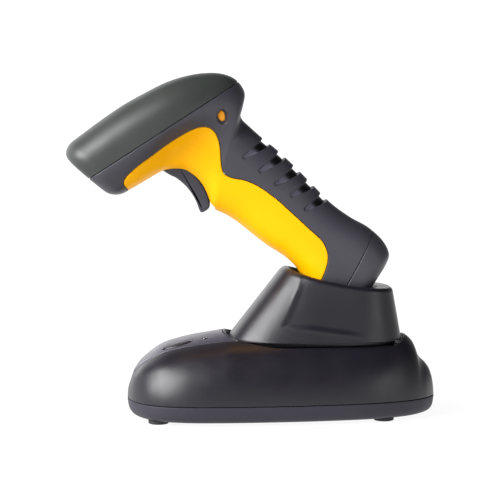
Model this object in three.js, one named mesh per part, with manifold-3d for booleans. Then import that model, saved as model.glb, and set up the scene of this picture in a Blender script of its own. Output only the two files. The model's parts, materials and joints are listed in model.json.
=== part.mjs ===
// Cordless handheld barcode scanner standing in its charging cradle.
// Millimetres, +Z up, +X towards the back of the cradle. The scanner's nose points to -X and
// downwards, its handle runs back and down into the cup. The outside is symmetric about y = 0,
// apart from the page button, its indicator light and the two sockets.
// Side-view points and directions are [x, z], plan points are [x, y], a span is [from, to].
import * as THREE from "three";
import { mergeVertices } from "three/addons/utils/BufferGeometryUtils.js";
import Module from "manifold-3d";

const wasm = await Module();
wasm.setup();

// ---------------------------------------------------------------- driving dimensions
const ORIGIN_X = -16.93; // middle of the overall box; the model is shifted to bring it to x = 0
const WALL = 2.2; // moulded wall of the scanner shells
const GAP = 0.3; // parting gap between neighbouring shells
const SEAM_POINT = [-70, 171.6]; // a point on the head's parting plane
const SEAM_DEG = 32.7; // tilt of the head, nose down
const CAP_LINE = [[56.2, 113.0], [25.6, 54.6]]; // parting line of the handle's end cap
const PIVOT = [-62.5, 153.4]; // trigger pivot
const TRIGGER_HALF = 8.2; // half width of the trigger
const PLUNGER_DIR = [0.447, 0.894]; // direction in which the switch plunger moves
const PLUNGER_AT = [-51.9, 148.1]; // origin of the switch's frame, just short of the plunger's tip
const BATTERY_AT = [6.4, 120.6];
const BATTERY_DIR = [0.762, -0.648]; // down the handle
const LIFT_DEG = 70; // the scanner leaves the cup along this direction, leaning to -X
const END_FACE = [37.25, 61.45]; // middle of the handle's end face
const PIN_Y = [-6, -2, 2, 6]; // charging contacts across the end face
const END_SCREW_X = 6.2; // end cap screws, in the frame of the end face
const END_SCREW_Y = [-7.6, 7.6];
const BASE_SEAM = 12.2; // height of the parting line between cradle cover and bottom plate
const SEAM_HALF_GAP = 0.15; // cover and plate each stop this far from that line
const DECK = 44; // height of the deck the cup stands on
const CUP_FOOT = 46.5; // lower edge of the cup's skirt
const CUP_SCREW_X = 8;
const CUP_SCREW_Y = [-16, 16];
const BASE_SCREWS = [[-58, 27], [-58, -27], [36, 27], [36, -27]];
const FEET = [[-73.5, 29], [-73.5, -29], [60, 25], [60, -25]];

const rad = (degrees) => (degrees * Math.PI) / 180;
const span = (half) => [-half, half];
const SCANNER_ACROSS = span(60); // y span that clears the whole scanner
const NECK_ACROSS = span(40); // y span that clears the neck and the handle
const HEAD_UP = [-Math.sin(rad(SEAM_DEG)), Math.cos(rad(SEAM_DEG))]; // square to the seam
const LIFT = [-Math.cos(rad(LIFT_DEG)), Math.sin(rad(LIFT_DEG))];

// ---------------------------------------------------------------- curves
// Catmull-Rom through equally spaced rows of numbers; whole values of `at` fall on the rows.
function splineRow(rows, at) {
  const last = rows.length - 1;
  const start = Math.max(0, Math.min(Math.floor(at), last - 1));
  const t = at - start;
  const beyond = (end, inner) => end.map((value, j) => 2 * value - inner[j]);
  const row = (i) => {
    if (i < 0) return beyond(rows[0], rows[1]);
    if (i > last) return beyond(rows[last], rows[last - 1]);
    return rows[i];
  };
  const [before, from, to, after] = [-1, 0, 1, 2].map((step) => row(start + step));
  return from.map(
    (value, j) =>
      0.5 *
      (2 * value +
        (-before[j] + to[j]) * t +
        (2 * before[j] - 5 * value + 4 * to[j] - after[j]) * t * t +
        (-before[j] + 3 * value - 3 * to[j] + after[j]) * t * t * t),
  );
}

// Monotone cubic through [x, value] pairs.
function curveAt(table, x) {
  const last = table.length - 1;
  if (x <= table[0][0]) return table[0][1];
  if (x >= table[last][0]) return table[last][1];
  let i = 0;
  while (x > table[i + 1][0]) i++;
  const slope = (k) => (table[k + 1][1] - table[k][1]) / (table[k + 1][0] - table[k][0]);
  const tangent = (k) => {
    if (k === 0) return slope(0);
    if (k === last) return slope(last - 1);
    const before = slope(k - 1);
    const after = slope(k);
    return before * after <= 0 ? 0 : (2 * before * after) / (before + after);
  };
  const width = table[i + 1][0] - table[i][0];
  const t = (x - table[i][0]) / width;
  return (
    (2 * t ** 3 - 3 * t ** 2 + 1) * table[i][1] +
    (t ** 3 - 2 * t ** 2 + t) * tangent(i) * width +
    (-2 * t ** 3 + 3 * t ** 2) * table[i + 1][1] +
    (t ** 3 - t ** 2) * tangent(i + 1) * width
  );
}

const clampShare = (t) => Math.max(0, Math.min(1, t));
const smoothStep = (t) => clampShare(t) ** 2 * (3 - 2 * clampShare(t));
const signedPower = (value, power) => Math.sign(value) * Math.abs(value) ** power;

// Evenly spaced points on a smooth curve through side-view points.
function smoothLine(points, steps) {
  const curve = new THREE.CatmullRomCurve3(points.map(([x, z]) => new THREE.Vector3(x, 0, z)));
  return curve.getSpacedPoints(steps).map((p) => [p.x, p.z]);
}

// ---------------------------------------------------------------- solids
function toSolid(geometry) {
  const bare = geometry.clone();
  for (const name of Object.keys(bare.attributes)) {
    if (name !== "position") bare.deleteAttribute(name);
  }
  const merged = mergeVertices(bare, 1e-4);
  return new wasm.Manifold(
    new wasm.Mesh({
      numProp: 3,
      vertProperties: new Float32Array(merged.attributes.position.array),
      triVerts: new Uint32Array(merged.index.array),
    }),
  );
}

function toGeometry(solid) {
  const mesh = solid.getMesh();
  const geometry = new THREE.BufferGeometry();
  const positions = new Float32Array(mesh.vertProperties);
  geometry.setAttribute("position", new THREE.BufferAttribute(positions, 3));
  geometry.setIndex(new THREE.BufferAttribute(new Uint32Array(mesh.triVerts), 1));
  geometry.computeVertexNormals();
  return geometry;
}

const cut = (solid, tools) => tools.reduce((rest, tool) => rest.subtract(tool), solid);

// A closed skin over rings with the same number of points, each end closed by a fan.
function loft(rings) {
  const count = rings[0].length;
  const points = rings.flat();
  const faces = [];
  for (let i = 0; i + 1 < rings.length; i++) {
    for (let j = 0; j < count; j++) {
      const here = i * count + j;
      const next = i * count + ((j + 1) % count);
      faces.push([here, here + count, next], [next, here + count, next + count]);
    }
  }
  const closeEnd = (start, flip) => {
    const middle = [0, 1, 2].map((axis) =>
      points.slice(start, start + count).reduce((sum, point) => sum + point[axis] / count, 0),
    );
    const centre = points.push(middle) - 1;
    for (let j = 0; j < count; j++) {
      const here = start + j;
      const next = start + ((j + 1) % count);
      faces.push(flip ? [centre, next, here] : [centre, here, next]);
    }
  };
  closeEnd(0, false);
  closeEnd((rings.length - 1) * count, true);
  const build = (triangles) => {
    const geometry = new THREE.BufferGeometry();
    geometry.setAttribute("position", new THREE.Float32BufferAttribute(points.flat(), 3));
    geometry.setIndex(triangles.flat());
    return toSolid(geometry);
  };
  const solid = build(faces);
  // Rings that run the other way round give an inside-out skin, so its faces are turned over.
  return solid.volume() < 0 ? build(faces.map(([i, j, k]) => [i, k, j])) : solid;
}

function extrude(points, depth) {
  const shape = new THREE.Shape(points.map(([x, y]) => new THREE.Vector2(x, y)));
  return new THREE.ExtrudeGeometry(shape, { depth, bevelEnabled: false });
}
// A side-view outline extruded along y.
function prism(points, [y0, y1] = SCANNER_ACROSS) {
  return toSolid(extrude(points, y1 - y0).rotateX(Math.PI / 2).translate(0, y1, 0));
}
// A plan outline extruded along z.
const slab = (points, [z0, z1]) => toSolid(extrude(points, z1 - z0).translate(0, 0, z0));

function box([x0, x1], [y0, y1], [z0, z1]) {
  const geometry = new THREE.BoxGeometry(x1 - x0, y1 - y0, z1 - z0);
  return toSolid(geometry.translate((x0 + x1) / 2, (y0 + y1) / 2, (z0 + z1) / 2));
}
function rodX([y, z], radius, [x0, x1], steps = 16) {
  const geometry = new THREE.CylinderGeometry(radius, radius, x1 - x0, steps);
  return toSolid(geometry.rotateZ(Math.PI / 2).translate((x0 + x1) / 2, y, z));
}
function rodY([x, z], radius, [y0, y1], steps = 14) {
  const geometry = new THREE.CylinderGeometry(radius, radius, y1 - y0, steps);
  return toSolid(geometry.translate(x, (y0 + y1) / 2, z));
}
function rodZ([x, y], radius, [z0, z1], steps = 14, topRadius = radius) {
  const geometry = new THREE.CylinderGeometry(topRadius, radius, z1 - z0, steps);
  return toSolid(geometry.rotateX(Math.PI / 2).translate(x, y, (z0 + z1) / 2));
}
function roundRect([width, height, radius], steps = 3, [midX, midY] = [0, 0]) {
  const corners = [[1, 1, 0], [-1, 1, 90], [-1, -1, 180], [1, -1, 270]];
  return corners.flatMap(([signX, signY, startDeg]) =>
    Array.from({ length: steps + 1 }, (_, i) => {
      const angle = rad(startDeg + (90 * i) / steps);
      return [
        midX + signX * (width / 2 - radius) + radius * Math.cos(angle),
        midY + signY * (height / 2 - radius) + radius * Math.sin(angle),
      ];
    }),
  );
}

// A y span on one side of the middle plane: side is -1 for left (-Y), 1 for right (+Y).
const sideSpan = (side, near, far) => (side > 0 ? [near, far] : [-far, -near]);
const bothSides = (make, near, far) => make([near, far]).add(make([-far, -near]));
const SIDES = [["left", -1], ["right", 1]];

// Moves a solid into a frame at `origin` whose local z points along `up` in the side view.
function place(solid, origin, up) {
  const matrix = new THREE.Matrix4().set(
    up[1], 0, up[0], origin[0],
    0, 1, 0, 0,
    -up[0], 0, up[1], origin[1],
    0, 0, 0, 1,
  );
  return toSolid(toGeometry(solid).applyMatrix4(matrix));
}
const inHead = (solid) => place(solid, SEAM_POINT, HEAD_UP); // x to the head's back, z off the seam
const onEndFace = (solid) => place(solid, END_FACE, LIFT); // x across the end face, z along the lift
const inSwitch = (solid) => place(solid, PLUNGER_AT, PLUNGER_DIR);
const inBattery = (solid) => place(solid, BATTERY_AT, BATTERY_DIR);

// ---------------------------------------------------------------- materials and group
const finish = (settings) => new THREE.MeshStandardMaterial(settings);
const FINISH = {
  topShell: finish({ color: 0x4a4d4a, roughness: 0.55 }),
  shell: finish({ color: 0x3c3d40, roughness: 0.55 }),
  yellow: finish({ color: 0xffd400, roughness: 0.5 }),
  trigger: finish({ color: 0x3a3a3e, roughness: 0.45 }),
  cradle: finish({ color: 0x1f1e22, roughness: 0.35 }),
  pan: finish({ color: 0x34333a, roughness: 0.5 }),
  cap: finish({ color: 0x3f4042, roughness: 0.55 }),
  black: finish({ color: 0x111113, roughness: 0.4 }),
  glass: finish({ color: 0x2a0a0c, roughness: 0.05, transparent: true, opacity: 0.4 }),
  rubber: finish({ color: 0x151515, roughness: 0.9 }),
  steel: finish({ color: 0xb8bcc0, roughness: 0.3, metalness: 1 }),
  gold: finish({ color: 0xd9a441, roughness: 0.25, metalness: 1 }),
  board: finish({ color: 0x1d5a38, roughness: 0.5 }),
  white: finish({ color: 0xe8e6e0, roughness: 0.5 }),
  amber: finish({ color: 0xe0902a, roughness: 0.2 }),
  battery: finish({ color: 0x2d5fa8, roughness: 0.4 }),
};

const root = new THREE.Group();
const nodes = new THREE.Group();
nodes.position.x = -ORIGIN_X;
root.add(nodes);

// Adds a piece. Only its largest body is kept, which sheds slivers cut loose from it.
function put(name, solid, material) {
  const [largest] = solid.decompose().sort((one, other) => other.volume() - one.volume());
  const mesh = new THREE.Mesh(toGeometry(largest), material);
  mesh.name = name;
  nodes.add(mesh);
}

// ---------------------------------------------------------------- the scanner's body
// Ribs from the nose to the handle's end. Columns: lower/front point x, z; upper/back point x, z;
// half width near each; where the change between them lies (share of the rib) and how long it is;
// rounding share at each end; rounding exponent at each end.
const RIBS = [
  [-99.0, 131.3, -131.5, 159.3, 29.0, 35.0, 0.22, 0.4, 0.16, 0.44, 3.0, 2.7],
  [-91.0, 135.6, -120.5, 167.3, 28.0, 35.5, 0.22, 0.4, 0.17, 0.44, 3.0, 2.7],
  [-84.0, 139.6, -107.5, 176.9, 27.0, 35.8, 0.22, 0.4, 0.18, 0.44, 3.0, 2.7],
  [-77.5, 143.4, -94.5, 185.8, 25.0, 35.8, 0.24, 0.4, 0.2, 0.44, 2.9, 2.7],
  [-71.0, 147.0, -81.5, 193.1, 22.5, 35.3, 0.28, 0.38, 0.22, 0.44, 2.8, 2.7],
  [-66.5, 147.9, -69.0, 199.4, 20.0, 34.5, 0.33, 0.36, 0.24, 0.44, 2.7, 2.6],
  [-62.0, 147.8, -57.5, 203.3, 18.6, 33.0, 0.38, 0.35, 0.26, 0.43, 2.6, 2.5],
  [-57.5, 146.8, -47.0, 205.2, 18.0, 31.0, 0.43, 0.35, 0.28, 0.42, 2.5, 2.4],
  [-53.5, 144.2, -37.0, 205.3, 17.8, 28.6, 0.48, 0.36, 0.3, 0.4, 2.5, 2.3],
  [-50.2, 141.0, -29.0, 203.0, 17.8, 26.2, 0.52, 0.38, 0.3, 0.37, 2.4, 2.3],
  [-47.8, 138.0, -24.0, 198.8, 17.8, 24.2, 0.55, 0.4, 0.3, 0.35, 2.4, 2.3],
  [-45.8, 134.6, -21.3, 193.5, 17.9, 22.4, 0.57, 0.42, 0.3, 0.34, 2.4, 2.3],
  [-44.3, 131.4, -22.0, 187.8, 18.0, 20.8, 0.58, 0.44, 0.3, 0.34, 2.4, 2.3],
  [-42.9, 128.0, -23.7, 181.5, 18.1, 19.6, 0.6, 0.5, 0.31, 0.36, 2.4, 2.3],
  [-41.0, 124.9, -22.9, 178.0, 18.2, 19.0, 0.6, 0.5, 0.33, 0.38, 2.4, 2.3],
  [-36.5, 122.9, -18.5, 173.7, 18.4, 18.8, 0.6, 0.5, 0.36, 0.41, 2.4, 2.3],
  [-30.5, 119.9, -10.2, 166.3, 18.5, 18.8, 0.6, 0.5, 0.39, 0.43, 2.35, 2.3],
  [-24.0, 115.4, -1.5, 159.3, 18.5, 18.8, 0.6, 0.5, 0.41, 0.44, 2.3, 2.3],
  [-15.6, 108.6, 9.0, 149.5, 18.5, 18.8, 0.6, 0.5, 0.42, 0.44, 2.3, 2.3],
  [-7.8, 102.6, 19.5, 138.8, 18.5, 18.8, 0.6, 0.5, 0.42, 0.44, 2.3, 2.3],
  [1.0, 97.0, 30.5, 127.8, 18.5, 18.9, 0.6, 0.5, 0.42, 0.44, 2.3, 2.3],
  [8.0, 91.2, 42.0, 119.4, 18.6, 19.3, 0.6, 0.5, 0.4, 0.42, 2.35, 2.35],
  [12.3, 85.0, 53.0, 113.2, 18.8, 19.8, 0.6, 0.5, 0.38, 0.4, 2.4, 2.4],
  [14.6, 78.9, 61.6, 105.3, 19.0, 20.2, 0.6, 0.5, 0.36, 0.38, 2.45, 2.4],
  [16.3, 72.5, 65.5, 97.5, 18.8, 20.2, 0.6, 0.5, 0.35, 0.36, 2.5, 2.4],
  [18.3, 66.5, 63.6, 91.2, 18.2, 19.6, 0.6, 0.5, 0.35, 0.35, 2.5, 2.4],
  [20.5, 61.8, 59.5, 84.5, 17.0, 18.4, 0.6, 0.5, 0.35, 0.35, 2.5, 2.5],
  [22.8, 58.8, 54.5, 76.5, 15.2, 16.4, 0.6, 0.5, 0.36, 0.36, 2.5, 2.5],
  [25.4, 57.4, 49.6, 69.2, 13.4, 14.2, 0.6, 0.5, 0.38, 0.38, 2.5, 2.5],
  [27.5, 57.9, 47.0, 65.0, 12.2, 12.8, 0.6, 0.5, 0.4, 0.4, 2.6, 2.6],
];
const NOSE_DEPTH = 8.5; // depth over which the nose rounds into its flat front
const NOSE_PITCH = 10.4; // distance taken between the first two ribs
const NOSE_DRAW = { low: 6, high: 8, side: 9 }; // how far the flat front is drawn in at its edges
const CORNER_STEPS = 3;

// Cross section at a station, in rib numbers, set in from the outside by `inset`.
function bodyRing(station, inset, flatSteps = 3) {
  const [
    lowX, lowZ, highX, highZ, lowWidth, highWidth,
    changeAt, changeLength, lowRound, highRound, lowPower, highPower,
  ] = splineRow(RIBS, station);
  const depth = station * NOSE_PITCH;
  const draw = depth < NOSE_DEPTH ? 1 - Math.sqrt(1 - (1 - depth / NOSE_DEPTH) ** 2) : 0;
  const length = Math.hypot(highX - lowX, highZ - lowZ);
  const start = NOSE_DRAW.low * draw + inset;
  const end = length - NOSE_DRAW.high * draw - inset;
  const half = [];
  const add = (share, fullness) => {
    const change = smoothStep((share - changeAt) / changeLength + 0.5);
    const full = lowWidth + (highWidth - lowWidth) * change - (NOSE_DRAW.side * draw + inset);
    const y = full * fullness;
    const along = (start + (end - start) * share) / length;
    half.push([lowX + (highX - lowX) * along, y < 1e-9 ? 0 : y, lowZ + (highZ - lowZ) * along]);
  };
  for (let j = 0; j <= CORNER_STEPS; j++) {
    const angle = (Math.PI / 2) * (j / CORNER_STEPS);
    const power = 2 / lowPower;
    add(lowRound * (1 - Math.cos(angle) ** power), Math.sin(angle) ** power);
  }
  for (let j = 1; j < flatSteps; j++) add(lowRound + ((1 - highRound - lowRound) * j) / flatSteps, 1);
  for (let j = 0; j <= CORNER_STEPS; j++) {
    const angle = (Math.PI / 2) * (j / CORNER_STEPS);
    const power = 2 / highPower;
    add(1 - highRound * (1 - Math.sin(angle) ** power), Math.cos(angle) ** power);
  }
  return [...half, ...half.slice(1, -1).reverse().map(([x, y, z]) => [x, -y, z])];
}
const bodySkin = (stations, inset, flatSteps) =>
  loft(stations.map((station) => bodyRing(station, inset, flatSteps)));

const OUTER_STATIONS = [
  0, 0.07, 0.25, 0.55, 0.82, 2, 3, 4, 5, 6, 7, 8, 9, 10, 11, 12, 13, 14, 15, 16.5, 18.5, 20.5,
  21.5, 22.5, 23.25, 24, 24.8, 25.6, 26.4, 27.2, 28, 29,
];
const INNER_STATIONS = [
  0.3, 0.8, 2.5, 4, 5, 6, 7, 8.5, 10, 12, 13.5, 15, 17.5, 20.5, 22.6, 24, 25.4, 26.4, 27.3,
];
const GROOVE_STATIONS = [13.5, 14.5, 15.5, 17, 18.5, 20, 21.5];
const RECESS_STATIONS = [7, 9, 10.5, 12, 13.5]; // around the screw recesses at the back of the head
const bodyOuter = bodySkin(OUTER_STATIONS, 0);
const shell = bodyOuter.subtract(bodySkin(INNER_STATIONS, WALL, 1));

// ---- Regions that part the shell, as prisms across the whole scanner.
// Everything above the head's seam, which is moved up by `offset`.
function aboveSeam(offset) {
  const corners = [[-90, offset], [90, offset], [90, 70], [-90, 70]];
  return prism(
    corners.map(([along, above]) => [
      SEAM_POINT[0] + along * HEAD_UP[1] + above * HEAD_UP[0],
      SEAM_POINT[1] - along * HEAD_UP[0] + above * HEAD_UP[1],
    ]),
  );
}
// Everything on the end cap's side of its parting line, which is moved towards the cap by `offset`.
function capSide(offset) {
  const [top, bottom] = CAP_LINE;
  const run = [bottom[0] - top[0], bottom[1] - top[1]];
  const length = Math.hypot(...run);
  const normal = [-run[1] / length, run[0] / length];
  const extra = 0.6; // the line is lengthened by this share at both ends
  const corner = (point, share, off) =>
    [0, 1].map((axis) => point[axis] + run[axis] * share + normal[axis] * off);
  return prism([
    corner(bottom, extra, offset),
    corner(bottom, extra, offset + 90),
    corner(top, -extra, offset + 90),
    corner(top, -extra, offset),
  ]);
}
// Edge of the yellow front cover, from under the nose, over the neck and down the handle.
const YELLOW_EDGE = [
  [-89.4, 134.5], [-91.3, 137.6], [-93.0, 140.0], [-92.8, 142.8], [-90.6, 145.8], [-84.3, 151.4],
  [-76.1, 157.2], [-67.9, 163.0], [-58.5, 168.9], [-50.8, 172.6], [-45.0, 173.4], [-40.6, 171.2],
  [-38.0, 166.8], [-36.6, 160.4], [-36.0, 151.6], [-34.4, 146.4], [-29.6, 143.6], [-21.6, 142.0],
  [-12.6, 137.8], [-2.8, 130.6], [7.2, 121.6], [16.7, 112.8], [23.4, 106.6], [26.6, 100.6],
  [27.2, 94.6], [25.6, 88.4], [22.4, 80.4], [19.6, 74.0], [14.0, 70.0],
];
const YELLOW_CLOSING = [[-10, 60], [-60, 80], [-88, 126]]; // closes the outline in front of the body
// Moves each point of a closed outline outwards, square to the line between its neighbours.
function growOutline(points, offset) {
  const count = points.length;
  const next = (i) => points[(i + 1) % count];
  const area = points.reduce((sum, [x, z], i) => sum + x * next(i)[1] - next(i)[0] * z, 0);
  const outward = Math.sign(area) * offset;
  return points.map(([x, z], i) => {
    const before = points[(i - 1 + count) % count];
    const run = [next(i)[0] - before[0], next(i)[1] - before[1]];
    const length = Math.hypot(...run);
    return [x + (run[1] * outward) / length, z - (run[0] * outward) / length];
  });
}
const yellowOutline = [...smoothLine(YELLOW_EDGE, 30), ...YELLOW_CLOSING];
const yellowRegion = (offset) => prism(growOutline(yellowOutline, offset));

// ---- Frame of the flat front: local x across, local y up the front, local z into the head.
const [frontLowX, frontLowZ, frontHighX, frontHighZ] = RIBS[0];
const FRONT_LENGTH = Math.hypot(frontHighX - frontLowX, frontHighZ - frontLowZ);
const FRONT_UP = [
  (frontHighX - frontLowX) / FRONT_LENGTH,
  (frontHighZ - frontLowZ) / FRONT_LENGTH,
];
const FRONT_MIDDLE = NOSE_DRAW.low + (FRONT_LENGTH - NOSE_DRAW.low - NOSE_DRAW.high) / 2;
function frontSlab(size, depths) {
  const matrix = new THREE.Matrix4().set(
    0, FRONT_UP[0], FRONT_UP[1], frontLowX + FRONT_UP[0] * FRONT_MIDDLE,
    1, 0, 0, 0,
    0, FRONT_UP[1], -FRONT_UP[0], frontLowZ + FRONT_UP[1] * FRONT_MIDDLE,
    0, 0, 0, 1,
  );
  const geometry = extrude(roundRect(size), depths[1] - depths[0]);
  return toSolid(geometry.translate(0, 0, depths[0]).applyMatrix4(matrix));
}
// Width, height and corner radius of the rounded rectangles around the window.
const WINDOW = {
  hole: [46, 22, 4.5],
  bezel: [45.2, 21.2, 4.2],
  bezelOpening: [39, 15, 2.4],
  seat: [42.4, 18.4, 3.2],
  glass: [41.8, 17.8, 3],
  gasketOpening: [37.4, 13.4, 1.6],
};
const windowHole = frontSlab(WINDOW.hole, [-2, 9]);

// ---- Top cover of the head, with the window's upper part and a hole for the status light.
const STATUS_LIGHT = [30, 0]; // in the head's frame
const topCover = shell
  .intersect(aboveSeam(GAP / 2))
  .subtract(windowHole)
  .subtract(inHead(rodZ(STATUS_LIGHT, 3.0, [8, 30], 12)));
put("head_top_cover", topCover, FINISH.topShell);

// ---- Main housing, with grip grooves and an oval screw recess on each side of the head.
// Grooves across the handle's back, narrowing towards their front ends: x, z, half width.
const GROOVES = [
  [[-3.6, 169.9, 3.0], [-8.8, 164.5, 2.8], [-15.5, 160.2, 2.2], [-22.6, 155.6, 1.4],
    [-23.8, 154.9, 0.7]],
  [[5.2, 161.4, 3.0], [0.1, 156.1, 2.8], [-5.8, 152.2, 2.2], [-13.2, 147.7, 1.4],
    [-14.4, 147.0, 0.7]],
  [[14.2, 153.1, 3.0], [9.1, 147.8, 2.8], [3.7, 144.5, 2.2], [-3.8, 140.1, 1.4],
    [-5.0, 139.4, 0.7]],
  [[22.6, 144.7, 3.0], [17.5, 139.4, 2.8], [12.6, 136.8, 2.15], [5.4, 133.2, 1.4],
    [4.2, 132.6, 0.7]],
  [[30.4, 136.6, 3.0], [25.3, 131.3, 2.75], [20.4, 128.5, 2.1], [13.6, 124.9, 1.4],
    [12.4, 124.3, 0.7]],
];
const GROOVE_DEPTH = 1.2;
function grooveCutters() {
  const core = bodySkin(GROOVE_STATIONS, GROOVE_DEPTH);
  return GROOVES.map((line) => {
    const edge = (side) =>
      line.map(([x, z, half], i) => {
        const before = line[Math.max(0, i - 1)];
        const after = line[Math.min(line.length - 1, i + 1)];
        const run = [after[0] - before[0], after[1] - before[1]];
        const length = Math.hypot(...run);
        return [x - (side * run[1] * half) / length, z + (side * run[0] * half) / length];
      });
    return prism([...edge(1), ...edge(-1).reverse()], NECK_ACROSS).subtract(core);
  });
}

const RECESS_AT = [-35.6, 179.6];
const RECESS_TILT = rad(8);
const RECESS_DEPTH = 2;
const RECESS_SPAN = [17.2, 40]; // distance from the middle plane over which boss and recess run
function oval(radiusX, radiusZ, ySpan, steps = 18) {
  const cos = Math.cos(RECESS_TILT);
  const sin = Math.sin(RECESS_TILT);
  const points = Array.from({ length: steps }, (_, i) => {
    const angle = (2 * Math.PI * i) / steps;
    const x = radiusX * Math.cos(angle);
    const z = radiusZ * Math.sin(angle);
    return [RECESS_AT[0] + x * cos - z * sin, RECESS_AT[1] + x * sin + z * cos];
  });
  return prism(points, ySpan);
}
function makeHousing() {
  const plain = cut(shell, [
    aboveSeam(-GAP / 2),
    yellowRegion(GAP / 2),
    capSide(-GAP / 2),
    windowHole,
    ...grooveCutters(),
  ]);
  const bosses = bothSides((ySpan) => oval(4.6, 5.8, ySpan, 16), ...RECESS_SPAN);
  const recesses = bothSides((ySpan) => oval(3.45, 4.7, ySpan), ...RECESS_SPAN);
  return plain
    .add(bosses.intersect(bodyOuter))
    .subtract(recesses.subtract(bodySkin(RECESS_STATIONS, RECESS_DEPTH)))
    .subtract(oval(2.65, 3.75, NECK_ACROSS));
}
put("main_housing", makeHousing(), FINISH.shell);

// ---- Yellow front cover, with the trigger's slot and bosses that hold the pivot pin.
const TRIGGER_SLOT = [
  [-71.4, 144.6], [-70.6, 149.6], [-66, 153], [-56, 152], [-48, 146],
  [-41, 138], [-38.6, 130], [-39.6, 121.6], [-48, 118], [-60, 130],
];
const SLOT_CLEARANCE = 0.9;
function makeFrontCover() {
  const bosses = bothSides((ySpan) => rodY(PIVOT, 3.4, ySpan), 11.6, 40)
    .intersect(bodyOuter)
    .intersect(box([-68, -57], NECK_ACROSS, [149.4, 158]));
  return shell
    .intersect(yellowRegion(-GAP / 2))
    .subtract(capSide(-GAP / 2))
    .subtract(aboveSeam(-GAP / 2))
    .add(bosses)
    .subtract(rodY(PIVOT, 3.1, [8.9, 11.5], 12)) // room for the spring's coil
    .subtract(prism(TRIGGER_SLOT, span(TRIGGER_HALF + SLOT_CLEARANCE)))
    .subtract(rodY(PIVOT, 1.85, span(15.2)));
}
put("front_grip_cover", makeFrontCover(), FINISH.yellow);

// ---- Nose window: bezel in the opening, glass and gasket behind its lip.
const bezel = frontSlab(WINDOW.bezel, [0.9, 8.4])
  .subtract(frontSlab(WINDOW.bezelOpening, [-1, 9.5]))
  .subtract(frontSlab(WINDOW.seat, [4.2, 9.5]));
put("window_bezel", bezel, FINISH.black);
put("scan_window", frontSlab(WINDOW.glass, [4.9, 6.5]), FINISH.glass);
const gasket = frontSlab(WINDOW.glass, [6.8, 8.0]).subtract(
  frontSlab(WINDOW.gasketOpening, [6, 9]),
);
put("window_gasket", gasket, FINISH.rubber);

// ---- Plugs in the floors of the side recesses, and the screws beneath them.
const plugTop = bodySkin(RECESS_STATIONS, 1.2);
for (const [label, side] of SIDES) {
  const plug = oval(2.3, 3.4, sideSpan(side, 17.4, 40)).intersect(plugTop);
  put("side_plug_" + label, plug, FINISH.amber);
}
for (const [label, side] of SIDES) {
  const screwHead = rodY(RECESS_AT, 2.7, sideSpan(side, 14.6, 16.8), 16);
  const shank = rodY(RECESS_AT, 1.4, sideSpan(side, 5.6, 14.8), 12);
  put("housing_screw_" + label, screwHead.add(shank), FINISH.steel);
}
const lightPipe = rodZ(STATUS_LIGHT, 2.6, [14.0, 18.4], 12).add(
  rodZ(STATUS_LIGHT, 3.6, [14.0, 14.8], 12),
);
put("status_light_pipe", inHead(lightPipe), FINISH.white);

// ---------------------------------------------------------------- inside the head
// A plate that carries the scan engine, with upright walls and a cross tube for the screws.
function makeInnerFrame() {
  const top = -8.0;
  const bottom = -9.8;
  const opening = box([-10, 14], span(10), [-12, -6]);
  return inHead(box([-38, 28.6], span(18), [bottom, top]).subtract(opening))
    .add(inHead(box([28, 34], span(13), [-11, -8.2]))) // rear tongue
    .add(rodY(RECESS_AT, 3.4, span(14.2), 16)) // cross tube
    .add(inHead(box([-38, -36], span(18), [bottom, -4]))) // low front wall
    .add(inHead(box([20.2, 24], span(16), [bottom, 11.7]))) // tall rear wall
    .subtract(rodY(RECESS_AT, 1.7, span(16), 12));
}
put("inner_frame", makeInnerFrame(), FINISH.black);

// Optics in the engine's front. Small ones: name, [y, z] in the head's frame, radius, material.
const LENS_AT = [0, 1.5];
const SMALL_OPTICS = [
  ["aimer_lens", [10.6, 4.5], 2.2, FINISH.glass],
  ["illumination_led_left", [-10.6, 4.5], 2.6, FINISH.white],
  ["illumination_led_right", [10.6, -3.6], 2.6, FINISH.white],
];
const OPTIC_CLEARANCE = 0.3;
const engine = cut(box([-33, -12], span(15), [-7.6, 10.6]), [
  rodX(LENS_AT, 5.6, [-34.2, -29]),
  ...SMALL_OPTICS.map(([, at, radius]) => rodX(at, radius + OPTIC_CLEARANCE, [-34.2, -31])),
]);
put("scan_engine", inHead(engine), FINISH.black);
const lens = rodX(LENS_AT, 5.2, [-37.4, -29.3], 20).subtract(
  rodX(LENS_AT, 3.6, [-38, -36.2], 20),
);
put("engine_lens", inHead(lens), FINISH.glass);
for (const [name, at, radius, material] of SMALL_OPTICS) {
  put(name, inHead(rodX(at, radius, [-33.8, -31.3])), material);
}

const BOARD_SPAN = [12.0, 13.6];
const PARTS_TOP = 11.7; // beeper and radio hang below the board and stop here
const mainBoard = box([-38, 22], span(20), BOARD_SPAN).add(box([21, 34], span(9), BOARD_SPAN));
put("main_board", inHead(mainBoard), FINISH.board);
put("beeper", inHead(rodZ([8, 12], 5, [7.4, PARTS_TOP], 20)), FINISH.black);
put("radio_module", inHead(box([-6, 12], [-16, -4], [9.2, PARTS_TOP])), FINISH.steel);

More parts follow.
